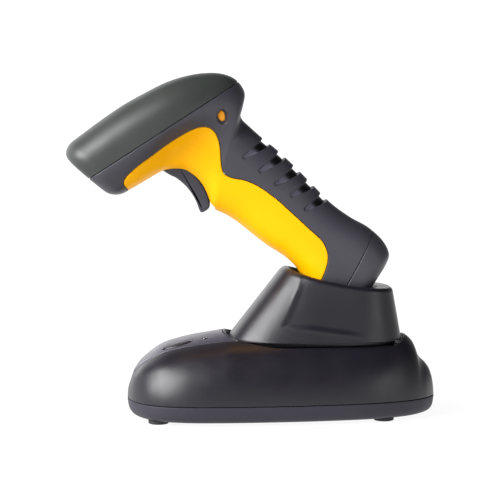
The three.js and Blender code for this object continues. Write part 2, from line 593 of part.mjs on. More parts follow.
// ---------------------------------------------------------------- trigger
// Finger side, from the pivot end down to the tip, then back up along the inside.
const TRIGGER_FRONT = [
  [-69.9, 147.4], [-65.9, 145.0], [-62.4, 143.3], [-59.0, 140.7], [-55.5, 137.2],
  [-52.4, 132.9], [-50.0, 128.4], [-48.4, 123.9], [-47.2, 122.7], [-44.4, 123.9],
];
const TRIGGER_BACK = [
  [-42.4, 126.2], [-42.6, 130.8], [-44.6, 136.4], [-48.4, 142.2], [-52.6, 147.0], [-56.6, 150.6],
  [-58.0, 153.4], [-59.6, 156.0], [-62.5, 157.2], [-65.6, 156.0], [-67.6, 152.6],
];
const trigger = prism([...smoothLine(TRIGGER_FRONT, 16), ...TRIGGER_BACK], span(TRIGGER_HALF));
put("trigger", trigger.subtract(rodY(PIVOT, 1.65, span(20), 24)), FINISH.trigger);
put("trigger_pin", rodY(PIVOT, 1.5, span(14.8), 24), FINISH.steel);

// Coil spring around the pivot, on the right of the trigger, with a leg at each end.
const SPRING = { radius: 2, wireRadius: 0.26, turns: 2.5, startY: 9.4, length: 1.6, endY: 11.1 };
function makeSpring() {
  const nearPivot = (x, y, z) => new THREE.Vector3(PIVOT[0] + x, y, PIVOT[1] + z);
  const path = [nearPivot(7, SPRING.startY, 4.4)];
  for (let i = 0; i <= 20; i++) {
    const share = i / 20;
    const angle = share * SPRING.turns * 2 * Math.PI;
    const y = SPRING.startY + share * SPRING.length;
    path.push(nearPivot(SPRING.radius * Math.cos(angle), y, SPRING.radius * Math.sin(angle)));
  }
  path.push(nearPivot(1.6, SPRING.endY, 7.6));
  const corners = [0, 1, 2, 3].map((i) => {
    const angle = (i * Math.PI) / 2;
    return new THREE.Vector2(
      SPRING.wireRadius * Math.cos(angle),
      SPRING.wireRadius * Math.sin(angle),
    );
  });
  const sweep = { steps: 34, bevelEnabled: false, extrudePath: new THREE.CatmullRomCurve3(path) };
  return toSolid(new THREE.ExtrudeGeometry(new THREE.Shape(corners), sweep));
}
put("trigger_spring", makeSpring(), FINISH.steel);
put("switch_plunger", inSwitch(rodZ([0, 0], 1.1, [0.4, 5.2])), FINISH.white);
const triggerSwitch = box(span(3.4), span(5.4), [3.0, 9.6]).subtract(rodZ([0, 0], 1.5, [2, 7.4]));
put("trigger_switch", inSwitch(triggerSwitch), FINISH.black);

// ---------------------------------------------------------------- handle
const battery = rodZ([0, 0], 9.2, [-33, 31], 24).add(rodZ([0, 0], 3.2, [30.9, 32.2], 16));
put("battery_pack", inBattery(battery), FINISH.battery);
const batteryContact = box(span(8), span(9), [33.2, 35.6]).add(
  rodZ([0, 0], 2.2, [32.5, 33.3], 12),
);
put("battery_contact", inBattery(batteryContact), FINISH.gold);
PIN_Y.forEach((y, i) => {
  put("charge_pad_" + (i + 1), onEndFace(rodZ([0, y], 1.4, [1.0, 3.2], 10)), FINISH.gold);
});
END_SCREW_Y.forEach((y, i) => {
  const at = [END_SCREW_X, y];
  const screw = rodZ(at, 1.2, [0.8, 8.6], 8)
    .add(rodZ(at, 2.4, [0.25, 1.25], 12))
    .subtract(rodZ(at, 0.9, [-1, 0.8], 6));
  put("end_cap_screw_" + (i + 1), onEndFace(screw), FINISH.steel);
});

// End cap, with holes for the pads and counterbored screw seats thickened from inside.
function makeEndCap() {
  const padHoles = PIN_Y.map((y) => onEndFace(rodZ([0, y], 1.8, [-5, 6], 10)));
  const seats = END_SCREW_Y.map((y) => onEndFace(rodZ([END_SCREW_X, y], 3.6, [0.4, 3.4], 10)));
  const screwHoles = END_SCREW_Y.flatMap((y) => [
    onEndFace(rodZ([END_SCREW_X, y], 1.6, [-3, 6], 8)),
    onEndFace(rodZ([END_SCREW_X, y], 2.8, [-3, 1.6], 12)),
  ]);
  const cap = cut(shell.intersect(capSide(GAP / 2)), padHoles);
  return cut(cap.add(wasm.Manifold.union(seats).intersect(bodyOuter)), screwHoles);
}
put("handle_end_cap", makeEndCap(), FINISH.cap);

// ---------------------------------------------------------------- the cradle's shape
// Half width of the base in plan: x, half width.
const HALF_WIDTH = [
  [-91.7, 0], [-91.5, 7], [-90.2, 16.5], [-87.2, 26], [-82, 35.2], [-76, 41.2], [-69, 45.2],
  [-56, 48.4], [-36, 49.5], [-10, 48.6], [16, 46.2], [40, 42.4], [56, 38.4], [69, 33],
  [78, 27.4], [85, 20.6], [89.6, 13.8], [92.2, 7.6], [93.3, 0],
];
// Height of the cover along the middle: x, z.
const CENTRE_TOP = [
  [-91.7, 12.8], [-91.5, 15.5], [-90.9, 18.5], [-89.7, 21.6], [-87.8, 26.8], [-84.2, 32.4],
  [-79.6, 37.0], [-75, 40.6], [-70.4, 43.4], [-65.8, 45.2], [-56.6, 47.7], [-47.4, 49.5],
  [-38.2, 51.0], [-29.5, 52.0], [0, 52.4], [50, 51.6], [68, 50.6], [73, 49.6], [77, 47.4],
  [80, 44.2], [81.5, 40.9], [83, 36.9], [85, 34.0], [87.6, 31.6], [90.1, 28.2], [92, 22.9],
  [93, 15.5], [93.3, 12.8],
];
// The cover's cross section is an ellipse standing on the seam, cut off by a crowned deck.
const CREASE = 0.72; // the deck's edge, as a share of the half width
const SIDE_TALL = [ // x, the ellipse's height over the centre's
  [-92, 1.3], [-84, 1.27], [-78, 1.19], [-69, 1.14], [93, 1.14],
];
const SECTION = [1, 0.975, 0.9, 0.81, CREASE, 0.5, 0.25, 0]; // shares of the half width
const INNER_SECTION = [1, 0.95, 0.85, CREASE, 0.4, 0];
function sectionHeight(x, share) {
  const tall = curveAt(SIDE_TALL, x);
  if (share >= CREASE) return tall * Math.sqrt(1 - share * share);
  const edge = tall * Math.sqrt(1 - CREASE * CREASE);
  return 1 - (1 - edge) * (share / CREASE) ** 2;
}
// Cross section of the cover at x, closed along z = floor.
function coverRing(x, sideInset, topInset, floor, shares = SECTION) {
  const width = Math.max(curveAt(HALF_WIDTH, x) - sideInset, 0.4);
  const height = Math.max(curveAt(CENTRE_TOP, x) - topInset - floor, 0.4);
  const right = shares.map((share) => [x, width * share, floor + height * sectionHeight(x, share)]);
  return [...right, ...right.slice(0, -1).reverse().map(([, y, z]) => [x, -y, z])];
}
const COVER_X = [
  -91.6, -91, -89.4, -86.4, -82, -76, -68, -57, -42, -20, 10, 36,
  54, 66, 74, 78.5, 81.2, 83, 85.6, 88.6, 90.8, 92.4, 93.1,
];
const COVER_INNER_X = [-89, -86.4, -81, -73, -60, -40, -10, 24, 50, 68, 79, 84, 88, 90.4];
const COVER_WALL = 2.6;
const coverOuter = loft(COVER_X.map((x) => coverRing(x, 0, 0, BASE_SEAM + SEAM_HALF_GAP)));

// Cup: x at the foot, then the change in x and the rise from foot to lip, at its two ends.
const CUP_FRONT = { foot: -32, lean: 34, rise: 43.7 };
const CUP_BACK = { foot: 72.8, lean: -5.6, rise: 31.2 };
const CUP_STEPS = 28; // points round the cup
const CUP_STEPS_COARSE = 20; // points round its hidden faces
// Outline of the cup at a share of its height, grown outwards by `grow`.
function cupRing(share, grow, steps, lift = 0) {
  const [front, back] = [CUP_FRONT, CUP_BACK].map(({ foot, lean, rise }) => [
    foot + lean * share,
    CUP_FOOT + rise * share,
  ]);
  const middle = (front[0] + back[0]) / 2;
  const halfLength = (back[0] - front[0]) / 2 + grow;
  return Array.from({ length: steps }, (_, j) => {
    const angle = (2 * Math.PI * j) / steps;
    const cos = Math.cos(angle);
    const x = middle + halfLength * signedPower(cos, cos < 0 ? 2 / 2.4 : 2 / 3);
    const along = (x - front[0]) / (back[0] - front[0]);
    const within = clampShare(along);
    const halfWidth = 34.5 - 6.5 * share + (-4.5 + 3 * share) * within + grow;
    const sag = 3.0 * share * 4 * within * (1 - within);
    const z = front[1] + (back[1] - front[1]) * along - sag + lift;
    return [x, halfWidth * signedPower(Math.sin(angle), 2 / 3), z];
  });
}
// The outline of the cup's foot, extruded upright.
const footSlab = (grow, steps, zSpan) => slab(cupRing(0, grow, steps), zSpan);

// Half outline of the tongue-shaped front inlay, from its back end to the front: x, y.
const TONGUE = [
  [-22, 25.4], [-50, 23.4], [-62, 21.8], [-73, 19.0],
  [-81, 15.0], [-85.2, 9.4], [-87.2, 4], [-87.7, 0],
];
const TONGUE_X = [-90.6, -89, -86.4, -82, -75, -63, -48, -20];
function tongueOutline(offset) {
  const half = TONGUE.map(([x, y], i) => {
    const shift = i === 0 ? offset : i > 3 ? -offset : 0;
    return [x + shift, i === TONGUE.length - 1 ? y : y + offset];
  });
  return [...half, ...half.slice(0, -1).reverse().map(([x, y]) => [x, -y])];
}
const tongueFloor = (sideInset, topInset) =>
  loft(TONGUE_X.map((x) => coverRing(x, sideInset, topInset, 10)));

// Page button: an oblong square to the sloping surface. Indicator light behind it.
const BUTTON_AT = [-61.8, -15.0];
const BUTTON_TOP = 45.1; // height of the cover's surface there
const BUTTON_TILT = rad(15.5);
const BUTTON_UP = [-Math.sin(BUTTON_TILT), Math.cos(BUTTON_TILT)];
const INDICATOR = [-45.6, -15.0];
const onButton = (solid) => place(solid, [BUTTON_AT[0], BUTTON_TOP], BUTTON_UP);
const pill = (length, width, zSpan) =>
  slab(roundRect([length, width, width / 2 - 0.01], 4, [0, BUTTON_AT[1]]), zSpan);
const buttonHole = (bottom) => onButton(pill(16.4, 7.6, [bottom, 8]));
const indicatorHole = (radius) => rodZ(INDICATOR, radius, [30, 60], 16);

// ---------------------------------------------------------------- cradle cover and inlay
function makeBaseCover() {
  const inside = COVER_INNER_X.map((x) => coverRing(x, COVER_WALL, COVER_WALL, 8, INNER_SECTION));
  const deckPlate = coverOuter.intersect(footSlab(4.0, CUP_STEPS_COARSE, [DECK - 2.4, DECK + 1]));
  const tongueRecess = slab(tongueOutline(0.25), [20, 70])
    .subtract(tongueFloor(1.5, 1.6))
    .subtract(footSlab(2.6, CUP_STEPS, [20, 80]));
  const open = cut(coverOuter.subtract(loft(inside)).add(deckPlate), [
    footSlab(1.4, CUP_STEPS, [DECK, 80]), // pocket around the cup
    box([22, 52], span(13), [30, 60]), // opening for the contact block
    tongueRecess,
    buttonHole(-9),
    indicatorHole(1.7),
  ]);
  const withPosts = BASE_SCREWS.reduce(
    (cover, at) => cover.add(rodZ(at, 3.4, [BASE_SEAM + 0.6, 39], 10).intersect(coverOuter)),
    open,
  );
  return cut(withPosts, [
    ...BASE_SCREWS.map((at) => rodZ(at, 1.5, [0, 26], 8)),
    ...CUP_SCREW_Y.map((y) => rodZ([CUP_SCREW_X, y], 1.9, [38, 50], 10)),
  ]);
}
put("cradle_base_cover", makeBaseCover(), FINISH.cradle);

const inlay = cut(coverOuter.intersect(slab(tongueOutline(-0.25), [20, 70])), [
  tongueFloor(1.2, 1.3),
  footSlab(2.9, CUP_STEPS, [20, 80]),
  buttonHole(-8),
  indicatorHole(1.9),
]);
put("front_inlay", inlay, FINISH.pan);

// The button has a wider flange under the cover and a stem that reaches down to its switch.
const pageButton = pill(15.6, 6.8, [-5.2, 0.8])
  .add(pill(17.4, 8.6, [-6.6, -5.1]))
  .add(rodZ([0, BUTTON_AT[1]], 1.6, [-27.6, -6.5], 10));
put("page_button", onButton(pageButton), FINISH.cap);
const STEM_REACH = 28; // from the button's surface to the switch, along the tilted stem
const SWITCH_X = BUTTON_AT[0] + STEM_REACH * Math.sin(BUTTON_TILT);
const SWITCH_Y = BUTTON_AT[1];
const pageSwitch = box([SWITCH_X - 3, SWITCH_X + 3], [SWITCH_Y - 3, SWITCH_Y + 3], [15.2, 16.6]).add(
  rodZ([SWITCH_X, SWITCH_Y], 1.7, [16.5, 17.1], 10),
);
put("page_switch", pageSwitch, FINISH.black);
put("cradle_light_pipe", rodZ(INDICATOR, 1.4, [15.2, 48.75], 12), FINISH.amber);

// ---------------------------------------------------------------- bottom plate
const BASE_FRONT_X = HALF_WIDTH[0][0];
const BASE_BACK_X = HALF_WIDTH.at(-1)[0];
const BASE_MIDDLE_X = (BASE_FRONT_X + BASE_BACK_X) / 2;
const BASE_HALF_LENGTH = (BASE_BACK_X - BASE_FRONT_X) / 2;
const BASE_HALF_WIDTH = 49.5; // the widest entry of HALF_WIDTH
// The base's plan outline at height z, shrunk by `inset`; stations crowd towards both ends.
function panRing(z, inset, steps) {
  const right = Array.from({ length: steps + 1 }, (_, i) => {
    const share = (1 - Math.cos((Math.PI * i) / steps)) / 2;
    const x = BASE_FRONT_X + (BASE_BACK_X - BASE_FRONT_X) * share;
    return [x, curveAt(HALF_WIDTH, x)];
  });
  const outline = [...right, ...right.slice(1, -1).reverse().map(([x, y]) => [x, -y])];
  const scaleX = 1 - inset / BASE_HALF_LENGTH;
  const scaleY = 1 - inset / BASE_HALF_WIDTH;
  return outline.map(([x, y]) => [BASE_MIDDLE_X + (x - BASE_MIDDLE_X) * scaleX, y * scaleY, z]);
}
// Height and inset of the pan's rings.
const PAN_OUTER = [[BASE_SEAM - SEAM_HALF_GAP, 0], [6.6, 0.7], [3.4, 2.8], [1.7, 9.0]];
const PAN_INNER = [[BASE_SEAM + 3, 2.6], [6.6, 3.2], [4.3, 7]];
// A shallow pan with a rounded lower edge and, towards the back, a socket bay open underneath.
function makeBottomPlate() {
  const outer = loft(PAN_OUTER.map(([z, inset]) => panRing(z, inset, 16)));
  const inner = loft(PAN_INNER.map(([z, inset]) => panRing(z, inset, 12)));
  const bay = box([33.6, 78.6], span(17), [2.0, 15.6]).intersect(slab(panRing(0, 2, 12), [0, 20]));
  const pan = cut(outer.subtract(inner).add(bay), [
    box([36, 76.4], span(14.8), [0, 13.4]), // inside of the bay
    box([76, 95], span(3.6), [0, 7.4]), // channel from the bay to the back edge
    box([30, 37], [-13.2, -0.2], [4.6, 13.0]), // data socket
    box([30, 37], [3.2, 12.4], [4.6, 13.0]), // power socket
  ]);
  const withBosses = BASE_SCREWS.reduce(
    (plate, at) =>
      plate
        .add(rodZ(at, 4.6, [1.9, 8.6], 12))
        .subtract(rodZ(at, 3.2, [0, 4.6], 12))
        .subtract(rodZ(at, 1.9, [0, 12], 10)),
    pan,
  );
  return cut(withBosses, FEET.map((at) => rodZ(at, 6.4, [0, 2.6], 16)));
}
put("cradle_bottom_plate", makeBottomPlate(), FINISH.pan);

const FOOT_PROFILE = [[0, 0], [5.3, 0], [6, 0.7], [6, 2.3], [0, 2.3]]; // radius, z
FEET.forEach(([x, y], i) => {
  const profile = FOOT_PROFILE.map(([radius, z]) => new THREE.Vector2(radius, z));
  const foot = new THREE.LatheGeometry(profile, 16).rotateX(Math.PI / 2).translate(x, y, 0);
  put("foot_" + (i + 1), toSolid(foot), FINISH.rubber);
});
BASE_SCREWS.forEach((at, i) => {
  const screw = rodZ(at, 2.8, [2.6, 4.3], 12)
    .add(rodZ(at, 1.2, [4.2, 20], 8))
    .subtract(rodZ(at, 1.1, [2, 3.8], 6));
  put("base_screw_" + (i + 1), screw, FINISH.steel);
});

// Sockets open towards the back, into the bay.
const SOCKET_Z = [4.8, 12.8];
const dataSocket = box([22.5, 38.6], [-13.0, -0.4], SOCKET_Z).subtract(
  box([26, 40], [-11.4, -2], [6.0, 11.6]),
);
put("data_socket", dataSocket, FINISH.black);
const powerSocket = box([24.5, 38.6], [3.4, 12.2], SOCKET_Z).subtract(
  rodX([7.8, 8.8], 2.9, [30.6, 40.6]),
);
put("power_socket", powerSocket, FINISH.black);
put("ballast_plate", box([-50, 14], span(22), [4.7, 9.1]), FINISH.steel);
put("cradle_board", slab(roundRect([94, 46, 4], 2, [-16, 0]), [13.3, 14.9]), FINISH.board);

// ---------------------------------------------------------------- the cup
// Rings of the well for the handle's butt, top to bottom: front point, back point, half width.
const WELL = [
  [[1.0, 97.5], [60.5, 88.2], 27.0], [[5.2, 89.3], [59.3, 80.6], 24.6],
  [[8.6, 83.0], [58.0, 78.0], 22.6], [[12.6, 74.6], [56.6, 75.2], 21.0],
  [[15.6, 66.4], [52.8, 70.6], 18.6], [[18.4, 60.6], [50.2, 66.2], 16.2],
  [[22.6, 56.2], [48.4, 63.6], 14.0], [[25.4, 55.6], [47.6, 63.0], 12.6],
];
const WELL_WALL = 2.2;
const WELL_STEPS = 20;
// The well's space; grown, it gains on all sides and its last three rings also sink.
function wellSolid(grow) {
  const rings = WELL.map(([front, back, halfWidth], i) => {
    const sink = i >= 5 ? grow : 0;
    const half = [(back[0] - front[0]) / 2, (back[1] - front[1]) / 2];
    const stretch = 1 + grow / Math.hypot(...half);
    return Array.from({ length: WELL_STEPS }, (_, j) => {
      const angle = (2 * Math.PI * j) / WELL_STEPS;
      const along = signedPower(Math.cos(angle), 2 / 3.4) * stretch;
      const [x, z] = [0, 1].map(
        (axis) => (front[axis] + back[axis]) / 2 + half[axis] * along - LIFT[axis] * sink,
      );
      return [x, (halfWidth + grow) * signedPower(Math.sin(angle), 2 / 2.8), z];
    });
  });
  return loft(rings);
}
// Share of the height and growth of the skirt's rings; the last two round the lip.
const CUP_OUTER = [[0, 0], [0.5, 0], [0.93, 0], [0.985, -0.7], [1, -2.2]];

// Outer skirt and inner well on a short foot, set back to leave a shadow gap under the skirt.
function makeCup() {
  const outer = loft(CUP_OUTER.map(([share, grow]) => cupRing(share, grow, CUP_STEPS)));
  const hollow = loft([
    cupRing(0, -2.6, CUP_STEPS_COARSE, -6),
    cupRing(0.5, -2.6, CUP_STEPS_COARSE),
    cupRing(0.9, -2.6, CUP_STEPS_COARSE),
  ]);
  const plan = (grow, zSpan) => footSlab(grow, CUP_STEPS_COARSE, zSpan);
  const foot = plan(-3.6, [DECK + 0.3, CUP_FOOT + 4])
    .add(plan(-1.5, [CUP_FOOT + 2, CUP_FOOT + 4.4]).intersect(outer))
    .subtract(plan(-6.4, [DECK - 1, CUP_FOOT + 6]));
  let cup = outer
    .subtract(hollow)
    .add(wellSolid(WELL_WALL).intersect(outer))
    .add(foot)
    .subtract(plan(-6.4, [DECK - 1, CUP_FOOT + 0.5]));
  const postLimit = outer.add(plan(-6, [DECK, CUP_FOOT + 1]));
  for (const y of CUP_SCREW_Y) {
    const at = [CUP_SCREW_X, y];
    cup = cup
      .add(rodZ(at, 4, [DECK + 0.3, 82], 12).intersect(postLimit))
      .subtract(rodZ(at, 1.5, [40, 55], 8));
  }
  // The top inside the lip is set 1.9 mm lower, which leaves a ledge around the well.
  const ledge = loft([cupRing(1, -3.0, CUP_STEPS, -1.9), cupRing(1, -2.7, CUP_STEPS, 4)]);
  const contactOpening = onEndFace(box(span(4.4), span(9.6), [-9, 1]));
  return cut(cup, [ledge, wellSolid(0), contactOpening]);
}
put("cradle_cup", makeCup(), FINISH.cradle);
CUP_SCREW_Y.forEach((y, i) => {
  const at = [CUP_SCREW_X, y];
  const screw = rodZ(at, 3.0, [38.6, 41.3], 12).add(rodZ(at, 1.2, [41.2, 52], 8));
  put("cup_screw_" + (i + 1), screw, FINISH.steel);
});

// Flanged contact block under the well, with four pins that taper at the tip.
const contactBlock = cut(
  onEndFace(
    box(span(4.1), span(9.3), [-12, -1.8]).add(box(span(6.4), span(11.4), [-7.4, -4.3])),
  ),
  PIN_Y.map((y) => onEndFace(rodZ([0, y], 1.35, [-10.2, 0], 10))),
);
put("contact_block", contactBlock, FINISH.black);
PIN_Y.forEach((y, i) => {
  const pin = rodZ([0, y], 1.0, [-8.6, 0.2], 10).add(rodZ([0, y], 1.0, [0.2, 0.7], 10, 0.5));
  put("charge_pin_" + (i + 1), onEndFace(pin), FINISH.gold);
});

export default root;
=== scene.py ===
# A hand scanner standing in its charging cradle, modelled as closed shells round a CAD frame.
# Lengths are drawing millimetres: z is up from the floor, y = 0 is the plane of symmetry, and
# the nose and the cradle's tongue lie towards -x. The handle's end stands in the cup at +x.
import json
import math

import bpy
import numpy as np
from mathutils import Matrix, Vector


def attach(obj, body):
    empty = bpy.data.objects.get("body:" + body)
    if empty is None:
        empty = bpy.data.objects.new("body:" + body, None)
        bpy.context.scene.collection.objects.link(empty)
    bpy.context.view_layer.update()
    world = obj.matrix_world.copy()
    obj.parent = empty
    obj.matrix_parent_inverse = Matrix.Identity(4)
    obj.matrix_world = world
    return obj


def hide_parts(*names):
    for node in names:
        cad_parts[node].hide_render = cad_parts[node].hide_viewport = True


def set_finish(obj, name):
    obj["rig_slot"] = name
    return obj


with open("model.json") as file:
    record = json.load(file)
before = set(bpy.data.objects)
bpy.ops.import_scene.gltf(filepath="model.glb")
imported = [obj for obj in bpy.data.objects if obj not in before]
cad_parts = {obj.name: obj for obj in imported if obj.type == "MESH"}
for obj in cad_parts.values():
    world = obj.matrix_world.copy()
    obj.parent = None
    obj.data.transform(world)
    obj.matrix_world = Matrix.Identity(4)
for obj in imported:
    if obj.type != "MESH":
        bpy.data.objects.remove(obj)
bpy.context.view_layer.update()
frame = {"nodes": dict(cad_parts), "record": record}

MM = 0.001
ORIGIN_X = -16.93  # drawing x of the frame's origin
PIECES = []


# ------------------------------------------------------------------ curves
def catmull(rows, s):
    """Catmull-Rom through equally spaced rows; s is an array of row numbers."""
    rows = np.asarray(rows, float)
    last = len(rows) - 1
    ext = np.vstack([2 * rows[0] - rows[1], rows, 2 * rows[-1] - rows[-2]])
    i = np.clip(np.floor(s).astype(int), 0, last - 1)
    f = (s - i)[:, None]
    a, b, c, d = ext[i], ext[i + 1], ext[i + 2], ext[i + 3]
    cubic = (2 * a - 5 * b + 4 * c - d) * f**2 + (-a + 3 * b - 3 * c + d) * f**3
    return 0.5 * (2 * b + (c - a) * f + cubic)


def monotone(table, x):
    """Monotone cubic through (x, y) pairs."""
    xs, ys = np.asarray(table, float).T
    step = np.diff(xs)
    slope = np.diff(ys) / step
    grade = np.empty(len(xs))
    grade[0], grade[-1] = slope[0], slope[-1]
    p, q = slope[:-1], slope[1:]
    with np.errstate(divide="ignore", invalid="ignore"):
        grade[1:-1] = np.where(p * q <= 0, 0, 2 * p * q / (p + q))
    x = np.clip(x, xs[0], xs[-1])
    i = np.clip(np.searchsorted(xs, x, side="right") - 1, 0, len(xs) - 2)
    u = (x - xs[i]) / step[i]
    return (
        (2 * u**3 - 3 * u**2 + 1) * ys[i]
        + (u**3 - 2 * u**2 + u) * grade[i] * step[i]
        + (-2 * u**3 + 3 * u**2) * ys[i + 1]
        + (u**3 - u**2) * grade[i + 1] * step[i]
    )


def smooth(t):
    t = np.clip(t, 0, 1)
    return t * t * (3 - 2 * t)


def spaced(points, count, closed=False):
    """Points evenly spaced along a smooth curve through the given ones."""
    rows = np.asarray(points, float)
    if closed:
        rows = np.vstack([rows, rows[:1]])
    curve = catmull(rows, np.linspace(0, len(rows) - 1, (len(rows) - 1) * 24 + 1))
    steps = np.linalg.norm(np.diff(curve, axis=0), axis=1)
    length = np.concatenate([[0], np.cumsum(steps)])
    t = np.linspace(0, length[-1], count + (1 if closed else 0))
    out = np.stack([np.interp(t, length, column) for column in curve.T], 1)
    return out[:-1] if closed else out


def unit(vectors):
    return vectors / (np.linalg.norm(vectors, axis=-1, keepdims=True) + 1e-12)


def xz(pair):
    """An (x, z) pair as a point in the plane of symmetry."""
    return np.array([pair[0], 0, pair[1]])


# ------------------------------------------------------------------ distances, negative inside
def polygon_distance(points, polygon):
    polygon = np.asarray(polygon, float)
    px, py = points[:, 0], points[:, 1]
    best = np.full(len(points), 1e9)
    inside = np.zeros(len(points), bool)
    for (ax, ay), (bx, by) in zip(polygon, np.roll(polygon, -1, axis=0)):
        ex, ey = bx - ax, by - ay
        wx, wy = px - ax, py - ay
        t = np.clip((wx * ex + wy * ey) / (ex * ex + ey * ey + 1e-12), 0, 1)
        best = np.minimum(best, (wx - t * ex) ** 2 + (wy - t * ey) ** 2)
        with np.errstate(divide="ignore", invalid="ignore"):
            crossing_x = ax + wy * ex / ey
        inside ^= ((ay > py) != (by > py)) & (px < crossing_x)
    distance = np.sqrt(best)
    return np.where(inside, -distance, distance)


def taper_distance(points, line, widths):
    """Distance to a polyline less its half width, which changes along it."""
    best = np.full(len(points), 1e9)
    for k in range(len(line) - 1):
        start, end = np.asarray(line[k], float), np.asarray(line[k + 1], float)
        edge = end - start
        t = np.clip(((points - start) @ edge) / (edge @ edge), 0, 1)
        away = np.linalg.norm(points - start - t[:, None] * edge, axis=1)
        best = np.minimum(best, away - (widths[k] + (widths[k + 1] - widths[k]) * t) / 2)
    return best


def round_rect_distance(u, v, half_u, half_v, radius):
    qu, qv = np.abs(u) - half_u + radius, np.abs(v) - half_v + radius
    corner = np.hypot(np.maximum(qu, 0), np.maximum(qv, 0))
    return corner + np.minimum(np.maximum(qu, qv), 0) - radius


# ------------------------------------------------------------------ polygon surfaces
class Surface:
    """Vertices, unit normals, polygons, and scalar fields that can be split along level lines."""

    def __init__(self, pos, nor, polys):
        self.pos, self.nor = np.asarray(pos, float), np.asarray(nor, float)
        self.polys = [list(poly) for poly in polys]
        self.fields = {}

    def copy(self):
        twin = Surface(self.pos.copy(), self.nor.copy(), self.polys)
        twin.fields = {k: v.copy() for k, v in self.fields.items()}
        return twin

    def split(self, name, level):
        """Adds the level line of a field as edges."""
        height = self.fields[name] - level
        height = np.where(np.abs(height) < 1e-6, 0.0, height)
        sign = np.sign(height).astype(int).tolist()
        first_new = len(self.pos)
        crossings, done, work = {}, [], self.polys
        while work:
            again = []
            for poly in work:
                signs = [sign[i] for i in poly]
                if min(signs) >= 0 or max(signs) <= 0:
                    done.append(poly)
                    continue
                ring, marks = [], []
                for i, a in enumerate(poly):
                    k = (i + 1) % len(poly)
                    b = poly[k]
                    if signs[i] == 0:
                        marks.append(len(ring))
                    ring.append(a)
                    if signs[i] * signs[k] < 0:
                        marks.append(len(ring))
                        edge = (a, b) if a < b else (b, a)
                        ring.append(crossings.setdefault(edge, first_new + len(crossings)))
                if len(marks) != 2:
                    # a polygon the line crosses more than once is fanned into triangles first
                    again += [[poly[0], poly[i], poly[i + 1]] for i in range(1, len(poly) - 1)]
                    continue
                i, j = marks
                halves = (ring[i : j + 1], ring[j:] + ring[: i + 1])
                done += [half for half in halves if len(half) >= 3]
            work = again
        if crossings:
            i0, i1 = np.array(list(crossings)).T
            t = height[i0] / (height[i0] - height[i1])
            tc = t[:, None]
            nor = unit(self.nor[i0] * (1 - tc) + self.nor[i1] * tc)
            self.pos = np.vstack([self.pos, self.pos[i0] * (1 - tc) + self.pos[i1] * tc])
            self.nor = np.vstack([self.nor, nor])
            for k, v in self.fields.items():
                new = v[i0] * (1 - t) + v[i1] * t
                if k == name:
                    new = np.full(len(crossings), float(level))
                self.fields[k] = np.concatenate([v, new])
        self.polys = done

    def below(self, name, level):
        """Tells for each polygon whether it lies below the level it was split at."""
        field = self.fields[name]
        return [field[poly].mean() < level - 1e-7 for poly in self.polys]

    def keep(self, name, level):
        """Keeps the polygons below the level, after a split there."""
        self.polys = [poly for poly, low in zip(self.polys, self.below(name, level)) if low]

    def pick(self, rows):
        """Keeps only the given vertices' data."""
        self.pos, self.nor = self.pos[rows], self.nor[rows]
        self.fields = {k: v[rows] for k, v in self.fields.items()}

    def compact(self):
        """Drops the vertices no polygon uses."""
        used = np.unique(np.concatenate([np.array(poly) for poly in self.polys]))
        index = -np.ones(len(self.pos), int)
        index[used] = np.arange(len(used))
        self.pick(used)
        self.polys = [[int(index[i]) for i in poly] for poly in self.polys]
        return self

    def weld(self, tolerance):
        """Merges vertices that came to lie almost on each other."""
        key = np.round(self.pos / tolerance).astype(np.int64)
        _, first, merged = np.unique(key, axis=0, return_index=True, return_inverse=True)
        merged = merged.reshape(-1)
        polys = []
        for poly in self.polys:
            ring = []
            for i in poly:
                k = int(merged[i])
                if not ring or ring[-1] != k:
                    ring.append(k)
            if len(ring) > 1 and ring[0] == ring[-1]:
                ring.pop()
            if len(ring) >= 3 and len(set(ring)) == len(ring):
                polys.append(ring)
        self.pick(first)
        self.polys = polys
        return self.compact()


def take(surface, name, margin=3.0):
    """Copy of the part of a surface near and inside a field's region."""
    part = surface.copy()
    field = part.fields[name]
    part.polys = [poly for poly in part.polys if min(field[i] for i in poly) < margin]
    return part.compact()


ROLL_STEPS = (0.0, 0.09, 0.25, 0.5, 1.0, 1.3)  # edge loops of a rolled edge, in radii


def roll_depth(distance, radius):
    """Depth of a quarter-round edge at a distance in from it."""
    d = np.clip(distance / radius, 0, 1)
    return radius * (1 - np.sqrt(np.clip(1 - (1 - d) ** 2, 0, 1)))


def roll_edges(s, name, level, radius, steps=ROLL_STEPS, keep=True):
    """Cuts the surface at a field's level and rolls its edge over."""
    for k in steps:
        s.split(name, level - radius * k)
    if keep:
        s.keep(name, level)
    s.pos = s.pos - s.nor * roll_depth(level - s.fields[name], radius)[:, None]


def roll_rim(s, name, level, radius, fade=lambda pos: 1.0):
    """Rolls the surface down towards a field's level from its positive side."""
    for k in reversed(ROLL_STEPS):
        s.split(name, level + radius * k)
    depth = roll_depth(s.fields[name] - level, radius) * fade(s.pos)
    s.pos = s.pos - s.nor * depth[:, None]


def trimmed(s, name, level, radius, steps=ROLL_STEPS):
    """The surface inside a field's level, with rolled edges."""
    roll_edges(s, name, level, radius, steps)
    return s.compact().weld(0.01)


def press(s, name, profile):
    """Presses the surface in by a depth along a field: profile is (field value, depth) pairs."""
    for value, _ in profile:
        s.split(name, value)
    values, depths = zip(*sorted(profile))
    s.pos = s.pos - s.nor * np.interp(s.fields[name], values, depths)[:, None]


